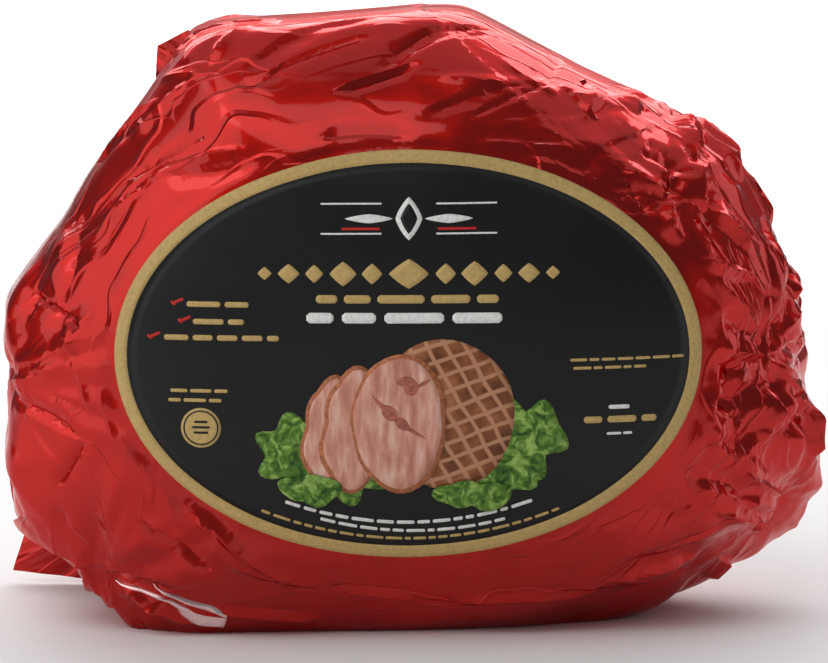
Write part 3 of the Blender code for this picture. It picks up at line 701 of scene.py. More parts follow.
def fan_creases():
    """Folds that run out from a pinched point, alternately high and low."""
    creases = []
    for fan in FRONT_FANS:
        random = np.random.default_rng(fan.seed)
        middle = front_rays(fan.x * MM, fan.z * MM)[None]
        normal = ham_normal(middle)[0]
        point = ham_points(middle)[0]
        aside = unit(np.cross(normal, (0.0, 0.0, 1.0)))
        upward = np.cross(aside, normal)
        for index in range(fan.folds):
            angle = math.tau * (index + random.uniform(-FAN_UNEVEN, FAN_UNEVEN)) / fan.folds
            reach = fan.reach * MM * random.uniform(*FAN_REACHES)
            sign = 1.0 if index % 2 else FAN_VALLEY
            toward = math.cos(angle) * aside + math.sin(angle) * upward
            start = unit(point + toward * reach * FAN_START)
            end = unit(point + toward * reach)
            height = sign * fan.height * MM * random.uniform(*FAN_HEIGHTS)
            width = reach * math.pi / fan.folds * random.uniform(*FAN_WIDTHS)
            creases.append(Crease(start, end, height, max(width, LEAST_HALF_WIDTH), 0.0))
    return creases


def back_creases():
    """Broad folds at random over the back."""
    random = np.random.default_rng(BACK_FOLD_SEED)
    creases = []
    while len(creases) < BACK_FOLDS:
        middle = unit(random.normal(size=3) * (1.0, 0.8, 0.8))
        toward = unit(np.cross(middle, random.normal(size=3) * (0.35, 1.0, 1.0)))
        length, height, half_width = (
            random.uniform(*limits) * MM for limits in (BACK_LENGTHS, BACK_HEIGHTS, BACK_HALF_WIDTHS)
        )
        if middle[1] < BACK_START:
            continue
        point = ham_points(middle[None])[0]
        start, end = unit(point - toward * length / 2), unit(point + toward * length / 2)
        bow = random.uniform(-BACK_BOW, BACK_BOW) * MM
        creases.append(Crease(start, end, height, half_width, bow))
    return creases


def crease_frame(crease):
    """Middle, direction, sideways direction and half length of a crease, in space."""
    start, end = ham_points(np.stack([crease.start, crease.end]))
    along = unit(end - start)
    middle_ray = unit(start + end)[None]
    across = unit(np.cross(ham_normal(middle_ray)[0], along))
    return (start + end) / 2, along, across, np.linalg.norm(end - start) / 2


def flared_width(crease, shares):
    return crease.half_width * np.maximum(1.0 + crease.flare * shares, LEAST_FLARE)


def add_crease(relief, points, crease):
    """Adds a straight-sided ridge or valley that thins out to both ends."""
    middle, along, across, half_length = crease_frame(crease)
    offset = points - middle
    reach = half_length + crease.half_width * 3.0
    near = np.flatnonzero(np.abs(offset).max(axis=1) < max(reach, CREASE_DEPTH))
    offset = offset[near]
    share = (offset @ along) / half_length
    through = np.abs(offset @ np.cross(along, across))
    taper = np.clip((1.0 - np.abs(share)) / CREASE_TAPER, 0.0, 1.0)
    half_width = flared_width(crease, share)
    half_width *= END_WIDTH + (1.0 - END_WIDTH) * taper
    aside = (offset @ across - crease.bow * (1.0 - share**2)) / half_width
    side_width = np.where(aside < 0, 1.0 - crease.lean, 1.0 + crease.lean)
    profile = np.maximum(0.0, 1.0 - np.abs(aside) / side_width)
    relief[near] += crease.height * profile * taper * (through < CREASE_DEPTH)


def nearest_direction(point, creases):
    """Direction of the main crease that passes closest to a point."""
    best = None
    for start, end, along in creases:
        share = np.clip(np.dot(point - start, end - start) / np.dot(end - start, end - start), 0, 1)
        away = np.linalg.norm(point - (start + share * (end - start)))
        if best is None or away < best[0]:
            best = (away, along)
    return best[1]


def flow_direction(point):
    """The way the film is pulled round the pack: along ovals about the label."""
    x, z = point[0] - LABEL_CENTRE[0], point[2] + MIDDLE_HEIGHT - LABEL_CENTRE[1]
    return unit((z, 0.0, -x / HAM_PROPORTIONS[0] ** 2 + 1e-6))


def small_creases(main, settings):
    """Lesser creases along the film's pull, which join the main ones in the gathered film."""
    random = np.random.default_rng(settings.crease_seed)
    lines = []
    for crease in main:
        start, end = ham_points(np.stack([crease.start, crease.end]))
        lines.append((start, end, unit(end - start)))
    made = []
    while len(made) < settings.small_creases:
        ray = unit(unit(random.normal(size=3)) * HAM_PROPORTIONS)
        point = ham_points(ray[None])[0]
        turn, length_share, width_share, height_share, keep = random.uniform(size=5)
        sign = 1.0 if random.uniform() < SMALL_CREASE_RIDGES else -1.0
        toward_shank = float(smooth_step(point[0], *GATHERED_ALONG))
        kept_share = between((SMALL_CREASE_CALM, 1.0), toward_shank)
        if point[1] >= SMALL_CREASE_BACK[0]:
            kept_share *= SMALL_CREASE_BACK[1]
        under_label = point[1] < 0 and beyond_label(point[None])[0] < SMALL_CREASE_CLEAR
        if keep > kept_share or under_label or point[2] < -MIDDLE_HEIGHT:
            continue
        along = flow_direction(point)
        gathered = nearest_direction(point, lines)
        along += toward_shank * (gathered * np.sign(np.dot(gathered, along) + TINY) - along)
        normal = ham_normal(ray[None])[0]
        along = unit(along - normal * np.dot(along, normal))
        across = np.cross(normal, along)
        angle = math.radians(SMALL_CREASE_TURN) * (2 * turn - 1)
        toward = math.cos(angle) * along + math.sin(angle) * across
        length = between(SMALL_CREASE_LENGTHS, length_share**2) * MM
        length *= 1.0 - SHANK_SHORTENING * toward_shank
        half_width = between(SMALL_CREASE_HALF_WIDTHS, width_share**2) * MM
        slope = between(SMALL_CREASE_SLOPES, height_share)
        height = sign * half_width * slope * between(SLOPE_SHARES, toward_shank)
        start, end = unit(point - toward * length / 2), unit(point + toward * length / 2)
        lean, flare = SMALL_CREASE_LEAN * (2 * turn - 1), SMALL_CREASE_FLARE * (1 - 2 * keep)
        bow = (turn - 0.5) * SMALL_CREASE_BOW * length
        made.append(Crease(start, end, height, half_width, bow, lean, flare))
    return made


# A net of flat facets: its corners on a flat field, how high they stand over the ham in metres, the
# triangles between them, and how rays turn into places on the field and back
Net = namedtuple("Net", "corners heights triangles place rays")


def scattered_corners(columns, rows, random):
    """One corner to each cell of a field whose columns go round and meet, and a share from -1 to 1
    for each."""
    noise = random.uniform(-1.0, 1.0, (columns, rows, 3))
    around = np.arange(-2, columns + 3)
    noise = noise[around % columns]
    cells = np.stack(np.meshgrid(around, np.arange(rows), indexing="ij"), axis=-1)
    places = (cells + FACET_JITTER * noise[..., :2]).reshape(-1, 2)
    triangles = delaunay_2d_cdt([Vector(place) for place in places], [], [], 0, TINY, False)[2]
    return places, noise[..., 2].ravel(), np.array(triangles)


def gather_share(points, fan):
    """1 near a gather, falling to 0 far from it and nearer to another one."""
    away = [
        np.hypot(points[:, 0] - other.x * MM, points[:, 2] + MIDDLE_HEIGHT - other.z * MM)
        for other in FRONT_FANS
    ]
    own = away[FRONT_FANS.index(fan)]
    nearest = np.min([value for value in away if value is not own], axis=0)
    share = smooth_step((nearest - own) / (nearest + own + TINY), *GATHER_TURNOVER)
    far = GATHER_REACH[1] * MM
    share *= 1.0 - smooth_step(own, GATHER_FADE * far, far)
    return share * (1.0 - smooth_step(points[:, 1], *GATHER_BEHIND))


def pull_net(random):
    """Facets drawn long along the film's pull."""
    rows = math.ceil(PULL_FARTHEST / PULL_STEP)
    corners, shares, triangles = scattered_corners(PULL_COLUMNS, rows, random)

    def place(rays):
        own = unit(rays / HAM_PROPORTIONS)
        turn = np.arctan2(own[:, 2], own[:, 0]) / math.tau * PULL_COLUMNS
        return np.stack([turn % PULL_COLUMNS, np.arccos(np.clip(-own[:, 1], -1, 1)) / PULL_STEP], axis=1)

    def back(places):
        turn, tilt = places[:, 0] / PULL_COLUMNS * math.tau, places[:, 1] * PULL_STEP
        own = np.stack([np.cos(turn) * np.sin(tilt), -np.cos(tilt), np.sin(turn) * np.sin(tilt)], axis=1)
        return unit(own * HAM_PROPORTIONS)

    points = ham_points(back(corners))
    toward_base = 1.0 - smooth_step(points[:, 2], *GATHERED_BELOW)
    toward_shank = smooth_step(points[:, 0], *GATHERED_ALONG)
    heights = between(PULL_HEIGHTS, np.maximum(toward_base, toward_shank))
    fade = (share * PULL_FARTHEST for share in PULL_FADE)
    heights *= 1.0 - smooth_step(corners[:, 1] * PULL_STEP, *fade)
    heights *= 1.0 - sum(gather_share(points, fan) for fan in FRONT_FANS)
    return Net(corners, shares * heights * MM, triangles, place, back)


def gather_net(fan, random):
    """Facets that run together at a gather."""
    nearest, farthest = GATHER_REACH
    rows = math.ceil(math.log(farthest / nearest) / GATHER_STEP) + 1
    corners, shares, triangles = scattered_corners(GATHER_COLUMNS, rows, random)

    def place(rays):
        points = ham_points(rays)
        across, upward = points[:, 0] / MM - fan.x, (points[:, 2] + MIDDLE_HEIGHT) / MM - fan.z
        turn = np.arctan2(upward, across) / math.tau * GATHER_COLUMNS
        away = np.log(np.maximum(np.hypot(across, upward), nearest) / nearest) / GATHER_STEP
        return np.stack([turn % GATHER_COLUMNS, away], axis=1)

    def back(places):
        turn = places[:, 0] / GATHER_COLUMNS * math.tau
        away = nearest * np.exp(places[:, 1] * GATHER_STEP)
        return front_rays((fan.x + away * np.cos(turn)) * MM, (fan.z + away * np.sin(turn)) * MM)

    points = ham_points(back(corners))
    away = nearest * np.exp(corners[:, 1] * GATHER_STEP)
    heights = shares * np.minimum(away, 0.5 * farthest) * GATHER_HEIGHT * gather_share(points, fan)
    return Net(corners, heights * MM, triangles, place, back)


def facet_nets():
    """All nets of facets on the film."""
    random = np.random.default_rng(FACET_SEED)
    return [pull_net(random)] + [gather_net(fan, random) for fan in FRONT_FANS]


def net_rows(net):
    """Rays to points spaced evenly along the edges of the facets that stand out or in."""
    ends = np.vstack([net.triangles[:, [0, 1]], net.triangles[:, [1, 2]], net.triangles[:, [2, 0]]])
    ends = np.unique(np.sort(ends, axis=1), axis=0)
    ends = net.corners[ends[np.abs(net.heights[ends]).max(axis=1) > FLAT_FACET]]
    shares = np.linspace(0.0, 1.0, EDGE_POINTS)
    lines = ends[:, :1] + shares[None, :, None] * (ends[:, 1:] - ends[:, :1])
    points = ham_points(net.rays(lines.reshape(-1, 2))).reshape(len(ends), len(shares), 3)
    steps = np.linalg.norm(np.diff(points, axis=1), axis=2)
    rows = []
    for (start, end), lengths in zip(ends, steps):
        walked = np.concatenate([[0.0], np.cumsum(lengths)])
        count = max(1, round(walked[-1] / ROW_SPACING))
        even = np.interp(np.linspace(0.0, walked[-1], count + 1), walked, shares)
        rows.append(start + np.outer(even, end - start))
    return net.rays(np.vstack(rows))


def net_heights(net, rays):
    """How high the facets stand over the ham along each ray."""
    places = net.place(rays)
    order = np.argsort(places[:, 0])
    inward = places[order, 0]
    found = np.zeros(len(rays))
    for triangle in net.triangles:
        start, one, other = net.corners[triangle]
        reach = net.corners[triangle, 0]
        low, high = np.searchsorted(inward, (reach.min(), reach.max()))
        near = order[low:high]
        offsets, first, second = places[near] - start, one - start, other - start
        area = first[0] * second[1] - first[1] * second[0]
        share_one = (offsets[:, 0] * second[1] - offsets[:, 1] * second[0]) / area
        share_other = (first[0] * offsets[:, 1] - first[1] * offsets[:, 0]) / area
        inside = (share_one >= 0) & (share_other >= 0) & (share_one + share_other <= 1)
        base, rise_one, rise_other = net.heights[triangle]
        rise_one, rise_other = rise_one - base, rise_other - base
        found[near[inside]] = (base + share_one * rise_one + share_other * rise_other)[inside]
    return found


def pinch_depth(points, fan):
    """How far the film is drawn in round a gather."""
    middle = ham_points(front_rays(fan.x * MM, fan.z * MM)[None])[0]
    away = np.linalg.norm(points - middle, axis=1)
    return fan.pinch * MM * np.exp(-((away / (fan.reach * MM * PINCH_SHARE)) ** 2))


def crease_rows(crease, spacing, feet):
    """Rays to points along a crease and, where asked, along both its feet."""
    middle, along, across, half_length = crease_frame(crease)
    count = max(2, round(2 * half_length / spacing))
    shares = np.linspace(-1.0, 1.0, count + 1)
    rows = []
    for side in (0.0, 1.0 + crease.lean, crease.lean - 1.0) if feet else (0.0,):
        bowed = crease.bow * (1.0 - shares**2) + side * flared_width(crease, shares)
        rows.append(unit(middle + np.outer(shares * half_length, along) + np.outer(bowed, across)))
    return np.vstack(rows)


def even_rays(spacing):
    """Rays to points spread evenly over the ham along a spiral."""
    count = int(HAM_AREA / (TRIANGLE_ROW * spacing**2))
    steps = np.arange(count) + 0.5
    rise = 1.0 - 2.0 * steps / count
    turn = math.pi * (1.0 + math.sqrt(5.0)) * steps
    round_y = np.sqrt(1.0 - rise**2)
    rays = np.stack([np.cos(turn) * round_y, rise, np.sin(turn) * round_y], axis=1)
    return unit(rays * HAM_PROPORTIONS)


def spread_apart(points, clearance):
    """Which points to keep, so that no kept one crowds an earlier one."""
    cells = {}
    kept = []
    for index, place in enumerate(np.floor(points / clearance).astype(int)):
        x, y, z = place
        point = points[index]
        crowd = (
            cells.get((x + dx, y + dy, z + dz), ())
            for dx in (-1, 0, 1) for dy in (-1, 0, 1) for dz in (-1, 0, 1)
        )
        if any(np.sum((points[other] - point) ** 2) < clearance**2 for cell in crowd for other in cell):
            continue
        cells.setdefault((x, y, z), []).append(index)
        kept.append(index)
    return kept


def wrap_rays(main, small, nets, settings):
    """Rays to all corners of the film: rows along the creases and the edges of its facets, then an
    even spread between them."""
    rows = [crease_rows(crease, ROW_SPACING, True) for crease in main]
    rows += [net_rows(net) for net in nets]
    rows += [crease_rows(crease, ROW_SPACING, False) for crease in small]
    rows = np.vstack(rows)
    on_ham = ham_points(rows)
    shown = (on_ham[:, 2] > -MIDDLE_HEIGHT) & ((beyond_label(on_ham) > 0) | (on_ham[:, 1] > 0))
    rows, on_ham = rows[shown], on_ham[shown]
    kept = spread_apart(on_ham, ROW_CLEARANCE)
    rows, on_ham = rows[kept], on_ham[kept]
    tree = kdtree.KDTree(len(rows))
    for index, point in enumerate(on_ham):
        tree.insert(point, index)
    tree.balance()
    groups = [rows]
    for index, spacing in enumerate((settings.front_spacing, BACK_SPACING, PLAIN_SPACING)):
        rays = even_rays(spacing)
        points = ham_points(rays)
        plain = (points[:, 1] < 0) & (beyond_label(points) == 0)
        plain |= points[:, 2] < -MIDDLE_HEIGHT - MM
        front = ~plain & (points[:, 1] < FRONT_ZONE_DEPTH)
        chosen = (front, ~plain & ~front, plain)[index]
        rays, points = rays[chosen], points[chosen]
        room = min(spacing, FRONT_SPACING_MOST) * FILL_SHARE
        free = [tree.find(point)[2] > room for point in points]
        groups.append(rays[free])
    return np.vstack(groups)


def wrap_points(rays, creases, nets):
    """The film's surface along each ray, in the ham's own frame."""
    bare = ham_radius(rays)
    on_ham = rays * bare[:, None]
    free = beyond_label(on_ham)
    taut_share = between(TAUT_SHARES, smooth_step(on_ham[:, 1], *TAUT_ALONG)) * free
    relief = np.zeros(len(rays))
    for crease in creases:
        add_crease(relief, on_ham, crease)
    for net in nets:
        relief += net_heights(net, rays)
    for fan in FRONT_FANS:
        relief -= pinch_depth(on_ham, fan)
    radius = bare + taut_share * (panel_radius(rays) - bare) + relief * free
    downward = rays[:, 2] < -LEAST_FALL
    to_floor = MIDDLE_HEIGHT / np.where(downward, -rays[:, 2], 1.0)
    radius = np.where(downward, np.minimum(radius, to_floor), radius)
    return rays * radius[:, None] + (0.0, 0.0, MIDDLE_HEIGHT)


def film_flow(rays):
    """Coordinates that run fast across the film's pull and slowly along it, with no seam."""
    own = unit(rays / HAM_PROPORTIONS)
    turn = np.arctan2(own[:, 2], own[:, 0])
    from_front = np.arccos(np.clip(-own[:, 1], -1.0, 1.0))
    return np.stack([np.cos(turn), np.sin(turn), from_front * FLOW_RATE], axis=1)


def shift_to_frame():
    """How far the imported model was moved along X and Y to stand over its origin."""
    low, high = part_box("label_band")
    own = front_rays(LABEL_CENTRE[0] + np.array((-1, 1)) * LABEL_WIDTH / 2, np.full(2, LABEL_CENTRE[1]))
    ends = ham_points(own)[:, 0]
    along = (low.x + high.x) / 2 - ends.mean()
    low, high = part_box("label_field")
    return Vector((along, low.y + FRONT_DEPTH + LABEL_TOP_LIFT, 0.0))


def mesh_over_rays(name, rays, points):
    """Joins neighbouring rays into triangles on a plane that the back of the sphere unrolls to,
    closes the gap behind it, and moves each corner to its point."""
    flat = rays[:, [0, 2]] / (1.0 - rays[:, 1:2])
    triangles = delaunay_2d_cdt([Vector(place) for place in flat], [], [], 0, TINY, False)[2]
    shape = bmesh.new()
    corners = [shape.verts.new(point) for point in points]
    for triangle in triangles:
        shape.faces.new([corners[index] for index in triangle])
    bmesh.ops.holes_fill(shape, edges=[edge for edge in shape.edges if edge.is_boundary])
    bmesh.ops.triangulate(shape, faces=[face for face in shape.faces if len(face.verts) > 3])
    bmesh.ops.recalc_face_normals(shape, faces=shape.faces[:])
    mesh = bpy.data.meshes.new(name)
    shape.to_mesh(mesh)
    shape.free()
    piece = bpy.data.objects.new(name, mesh)
    bpy.context.scene.collection.objects.link(piece)
    return piece


def film_folds(settings):
    """The creases and the facets of the film, as wrap_points takes them, with the main creases apart."""
    main = front_creases() + fan_creases() + back_creases()
    return main, small_creases(main, settings), facet_nets()


def line_through(points, shares):
    """Points at shares from 0 to 1 along a line that is straight between the given points."""
    points = np.array(points)
    places = np.linspace(0.0, 1.0, len(points))
    return np.stack([np.interp(shares, places, values) for values in points.T], axis=1)


def deselect_all():
    if bpy.context.object and bpy.context.object.mode != "OBJECT":
        bpy.ops.object.mode_set(mode="OBJECT")
    bpy.ops.object.select_all(action="DESELECT")


def select_only(piece):
    deselect_all()
    piece.select_set(True)
    bpy.context.view_layer.objects.active = piece


def thicken(piece, thickness, offset):
    """Gives a flat piece a thickness; offset says to which side, from -1 to 1."""
    select_only(piece)
    wall = piece.modifiers.new("thickness", "SOLIDIFY")
    wall.thickness = thickness
    wall.offset = offset
    bpy.ops.object.modifier_apply(modifier=wall.name)


def finish_piece(piece, material, slot_name, *nodes):
    """Gives a finished piece its material and its body, and hides the solids it stands for; slot_name is
    not used.
    """
    piece.data.materials.clear()
    piece.data.materials.append(material)
    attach(piece, "root")
    if nodes:
        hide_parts(*nodes)


def new_material(name):
    """A material, its node tree and its shader."""
    material = bpy.data.materials.new(name)
    material.use_nodes = True
    tree = material.node_tree
    return material, tree, tree.nodes["Principled BSDF"]


def add_node(tree, kind, **settings):
    """A node, with its own settings and its inputs by name."""
    node = tree.nodes.new(kind)
    for name, value in settings.items():
        if hasattr(node, name):
            setattr(node, name, value)
        else:
            node.inputs[name.replace("_", " ").title()].default_value = value
    return node


def object_coordinates(tree, scale=(1.0, 1.0, 1.0), turn=0.0):
    """The piece's own coordinates, scaled, and turned about Y by an angle in degrees."""
    place = add_node(tree, "ShaderNodeTexCoord")
    mapping = add_node(tree, "ShaderNodeMapping")
    mapping.inputs["Scale"].default_value = scale
    mapping.inputs["Rotation"].default_value = (0.0, math.radians(turn), 0.0)
    tree.links.new(place.outputs["Object"], mapping.inputs["Vector"])
    return mapping.outputs["Vector"]


def noise_texture(tree, place, **settings):
    """A noise texture over the given coordinates."""
    node = add_node(tree, "ShaderNodeTexNoise", **settings)
    tree.links.new(place, node.inputs["Vector"])
    return node


def math_node(tree, operation, first, second):
    node = add_node(tree, "ShaderNodeMath", operation=operation)
    tree.links.new(first, node.inputs[0])
    tree.links.new(second, node.inputs[1])
    return node.outputs["Value"]


def ramp(tree, source, *stops):
    """A colour ramp; each stop is its place and a colour, or one grey from 0 to 1."""
    node = add_node(tree, "ShaderNodeValToRGB")
    elements = node.color_ramp.elements
    while len(elements) < len(stops):
        elements.new(0.5)
    for element, (place, colour) in zip(elements, stops):
        element.position = place
        element.color = (*colour, 1.0) if isinstance(colour, tuple) else (colour,) * 3 + (1.0,)
    tree.links.new(source, node.inputs["Fac"])
    return node.outputs["Color"]


def add_bump(tree, height, strength, distance, below=None):
    bump = add_node(tree, "ShaderNodeBump")
    bump.inputs["Strength"].default_value = strength
    bump.inputs["Distance"].default_value = distance
    tree.links.new(height, bump.inputs["Height"])
    if below:
        tree.links.new(below, bump.inputs["Normal"])
    return bump.outputs["Normal"]


def foil_material(settings, name, red):
    """Metallised film: a soft metal under a clear gloss, with long thin creases."""
    material, tree, shader = new_material(name)
    place = object_coordinates(tree)
    shade = noise_texture(tree, place, scale=38.0, detail=3.0).outputs["Fac"]
    deep = tuple(channel * share for channel, share in zip(red, FOIL_DEEP))
    tree.links.new(ramp(tree, shade, (0.38, deep), (0.62, tuple(red))), shader.inputs["Base Color"])
    shader.inputs["Metallic"].default_value = 1.0
    least, most = (settings.foil_roughness * share for share in FOIL_SOFTNESS)
    tree.links.new(ramp(tree, shade, (0.35, least), (0.65, most)), shader.inputs["Roughness"])
    for gloss, value in FOIL_GLOSS:
        shader.inputs[gloss].default_value = value
    flow = add_node(tree, "ShaderNodeAttribute")
    flow.attribute_name = "flow"
    bent = add_node(tree, "ShaderNodeVectorMath", operation="MULTIPLY_ADD")
    bent.inputs[1].default_value = FLOW_WARP
    warp = noise_texture(tree, place, scale=22.0, detail=2.0)
    tree.links.new(warp.outputs["Color"], bent.inputs[0])
    tree.links.new(flow.outputs["Vector"], bent.inputs[2])
    patches = noise_texture(tree, place, scale=16.0, detail=1.0).outputs["Fac"]
    normal = None
    for scale, width, depth, start in FINE_CREASES:
        lines = noise_texture(tree, bent.outputs["Vector"], scale=scale, detail=0.0).outputs["Fac"]
        thin = ramp(tree, lines, (0.5 - width, 0.0), (0.5, 1.0), (0.5 + width * 0.5, 0.0))
        here = ramp(tree, patches, (start, 0.0), (start + 0.12, 1.0))
        height = math_node(tree, "MULTIPLY", thin, here)
        normal = add_bump(tree, height, settings.foil_crinkle, depth, normal)
    tree.links.new(normal, shader.inputs["Normal"])
    tree.links.new(normal, shader.inputs["Coat Normal"])
    return material


def print_material(name, colour, roughness=0.5, speckle=0.12):
    """Printed paper or ink: one colour with a faint uneven tone and a fine grain."""
    material, tree, shader = new_material(name)
    grain = noise_texture(tree, object_coordinates(tree), scale=900.0, detail=2.0).outputs["Fac"]
    dark = tuple(channel * (1.0 - speckle) for channel in colour[:3])
    light = tuple(min(1.0, channel * (1.0 + speckle)) for channel in colour[:3])
    tree.links.new(ramp(tree, grain, (0.3, dark), (0.7, light)), shader.inputs["Base Color"])
    shader.inputs["Roughness"].default_value = roughness
    shader.inputs["Specular IOR Level"].default_value = PRINT_GLOSS
    tree.links.new(add_bump(tree, grain, *PRINT_GRAIN), shader.inputs["Normal"])
    return material


def rind_lines(tree):
    """Pale lines that cross over the rind in two directions, as a height from 0 to 1."""
    found = []
    for turn in (30.0, 110.0):
        wave = add_node(tree, "ShaderNodeTexWave", scale=62.0, distortion=1.4, detail=1.0)
        wave.bands_direction = "X"
        wave.inputs["Detail Scale"].default_value = 1.2
        tree.links.new(object_coordinates(tree, turn=turn), wave.inputs["Vector"])
        found.append(ramp(tree, wave.outputs["Fac"], (0.78, 0.0), (0.93, 1.0)))
    return math_node(tree, "MAXIMUM", *found)


def toned_finish(name, scale, turn, texture, stops, roughness, lines=None):
    """Food on the picture: tones of one noise texture, with pale lines over them where asked."""
    material, tree, shader = new_material(name)
    tone = noise_texture(tree, object_coordinates(tree, scale, turn), **texture)
    colour = ramp(tree, tone.outputs["Fac"], *stops)
    if lines:
        mix = add_node(tree, "ShaderNodeMix", data_type="RGBA")
        mix.inputs["B"].default_value = (*lines, 1.0)
        tree.links.new(rind_lines(tree), mix.inputs["Factor"])
        tree.links.new(colour, mix.inputs["A"])
        colour = mix.outputs["Result"]
    tree.links.new(colour, shader.inputs["Base Color"])
    shader.inputs["Roughness"].default_value = roughness
    shader.inputs["Specular IOR Level"].default_value = PRINT_GLOSS
    return material


def picture_finish(kind):
    """The material of one kind of shape in the picture."""
    if kind in PICTURE_INKS:
        return print_material(*PICTURE_INKS[kind])
    return toned_finish(*PICTURE_TONES[kind])


def label_place(x, z, lift):
    """A point over the pack's front, lift above the film, from its place seen from the front."""
    rays = front_rays(np.asarray(x), np.asarray(z))
    shift = shift_to_frame()
    points = ham_points(rays) + ham_normal(rays) * lift
    return points + (shift.x, shift.y, MIDDLE_HEIGHT)


def lay_on_label(piece, lift, thickness):
    """Bends a flat piece, drawn in X and Y from the label's middle, over the pack's front, and
    thickens it."""
    shape = bmesh.new()
    shape.from_mesh(piece.data)
    shape.transform(piece.matrix_world)
    flat = np.array([vertex.co[:2] for vertex in shape.verts])
    places = label_place(flat[:, 0] + LABEL_CENTRE[0], flat[:, 1] + LABEL_CENTRE[1], lift)
    for vertex, place in zip(shape.verts, places):
        vertex.co = place
    shape.normal_update()
    bmesh.ops.reverse_faces(shape, faces=[face for face in shape.faces if face.normal.y > 0])
    shape.to_mesh(piece.data)
    shape.free()
    piece.matrix_world.identity()
    piece.data.shade_smooth()
    thicken(piece, thickness, 1.0)


def patch(centre, reach, rings=4, segments=48):
    """A flat shape about a middle, in millimetres; reach gives its rim's x and y at each angle."""
    deselect_all()
    bpy.ops.mesh.primitive_circle_add(vertices=segments, radius=1.0)
    bpy.ops.object.mode_set(mode="EDIT")
    bpy.ops.mesh.select_all(action="SELECT")
    for ring in range(rings, 1, -1):
        bpy.ops.mesh.extrude_edges_move()
        bpy.ops.transform.resize(value=((ring - 1) / ring,) * 3)
    bpy.ops.mesh.extrude_edges_move()
    bpy.ops.mesh.merge(type="CENTER")
    bpy.ops.object.mode_set(mode="OBJECT")
    piece = bpy.context.object
    for vertex in piece.data.vertices:
        share = min(1.0, vertex.co.xy.length)
        x, y = reach(math.atan2(vertex.co.y, vertex.co.x))
        vertex.co = ((centre[0] + x * share) * MM, (centre[1] + y * share) * MM, 0.0)
    return piece


def oval(half_width, half_height, turn=0.0, power=2.0):
    """The rim of an oval, fuller than an ellipse where power is above 2."""
    cos_turn, sin_turn = math.cos(math.radians(turn)), math.sin(math.radians(turn))

    def reach(angle):
        across, upward = math.cos(angle), math.sin(angle)
        x = math.copysign(abs(across) ** (2 / power), across) * half_width
        y = math.copysign(abs(upward) ** (2 / power), upward) * half_height
        return x * cos_turn - y * sin_turn, x * sin_turn + y * cos_turn

    return reach


def rim_through(rim):
    """The rim of a free shape, smoothly through points that are given round it in order."""
    rim = np.array(rim, float)
    own = np.sort(np.arctan2(rim[:, 1], rim[:, 0]))
    rim = rim[np.argsort(np.arctan2(rim[:, 1], rim[:, 0]))]
    lengths = np.hypot(rim[:, 0], rim[:, 1])

    def reach(angle):
        count = len(own)
        index = int(np.searchsorted(own, angle)) - 1
        spots = [(index + step) % count for step in (-1, 0, 1, 2)]
        start = own[spots[1]] - (math.tau if index < 0 else 0)
        width = (own[spots[2]] - own[spots[1]]) % math.tau
        share = (angle - start) / width
        before, low, high, after = lengths[spots]
        length = 0.5 * (
            2 * low + (high - before) * share
            + (2 * before - 5 * low + 4 * high - after) * share**2
            + (3 * low - before - 3 * high + after) * share**3
        )
        return length * math.cos(angle), length * math.sin(angle)

    return reach


def bar(centre, width, height, turn=0.0):
    """A flat bar with softened ends, in millimetres from the label's middle."""
    deselect_all()
    count = max(2, round(width / BAR_STEP))
    bpy.ops.mesh.primitive_grid_add(x_subdivisions=count + 2, y_subdivisions=2, size=2.0)
    piece = bpy.context.object
    cos_turn, sin_turn = math.cos(math.radians(turn)), math.sin(math.radians(turn))
    soft = min(BAR_END * height / width, 0.2)
    for vertex in piece.data.vertices:
        column = round((vertex.co.x + 1) / 2 * (count + 2))
        end = column in (0, count + 2)
        share = vertex.co.x if end else (2 * (column - 1) / count - 1) * (1 - 2 * soft)
        x = share * width / 2
        y = vertex.co.y * height / 2 * (BAR_END_HEIGHT if end else 1.0)
        vertex.co.x = (centre[0] + x * cos_turn - y * sin_turn) * MM
        vertex.co.y = (centre[1] + x * sin_turn + y * cos_turn) * MM
    return piece


def join_as(name, pieces):
    """Joins pieces into one of the given name."""
    deselect_all()
    for piece in pieces:
        piece.select_set(True)
    bpy.context.view_layer.objects.active = pieces[0]
    if len(pieces) > 1:
        bpy.ops.object.join()
    joined = bpy.context.object
    joined.name = joined.data.name = name
    return joined


def oval_band(outer, inner, segments=48, centre=(0, 0)):
    """A flat band between two ovals about one middle, three rows of faces wide."""
    piece = patch(centre, oval(1.0, 1.0), 1, 8)
    shape = bmesh.new()
    rows = []
    for share in (0.0, 1 / 3, 2 / 3, 1.0):
        half = [low + (high - low) * share for low, high in zip(inner, outer)]
        row = []
        for step in range(segments):
            turn = math.tau * step / segments
            x, y = centre[0] + half[0] * math.cos(turn), centre[1] + half[1] * math.sin(turn)
            row.append(shape.verts.new((x * MM, y * MM, 0)))
        rows.append(row)
    for near, far in zip(rows, rows[1:]):
        for step in range(segments):
            ahead = (step + 1) % segments
            shape.faces.new((near[step], far[step], far[ahead], near[ahead]))
    shape.to_mesh(piece.data)
    shape.free()
    return piece


def bar_row(centre_x, y, width, height, seed, arch=0.0):
    """A row of bars of uneven length, rising to both ends by the arch."""
    random = np.random.default_rng(seed + 3)
    bars = []
    left = centre_x - width / 2
    end = centre_x + width / 2
    while left < end - height * SHORTEST_BAR:
        length = min(height * random.uniform(*BAR_LENGTHS), end - left)
        middle = left + length / 2
        drop = arch * ((middle - centre_x) / (width / 2)) ** 2
        slope = math.degrees(math.atan(2 * arch * (middle - centre_x) / (width / 2) ** 2))
        bars.append(bar((middle, y + drop), length, height, slope))
        left += length + height * BAR_GAP
    return bars


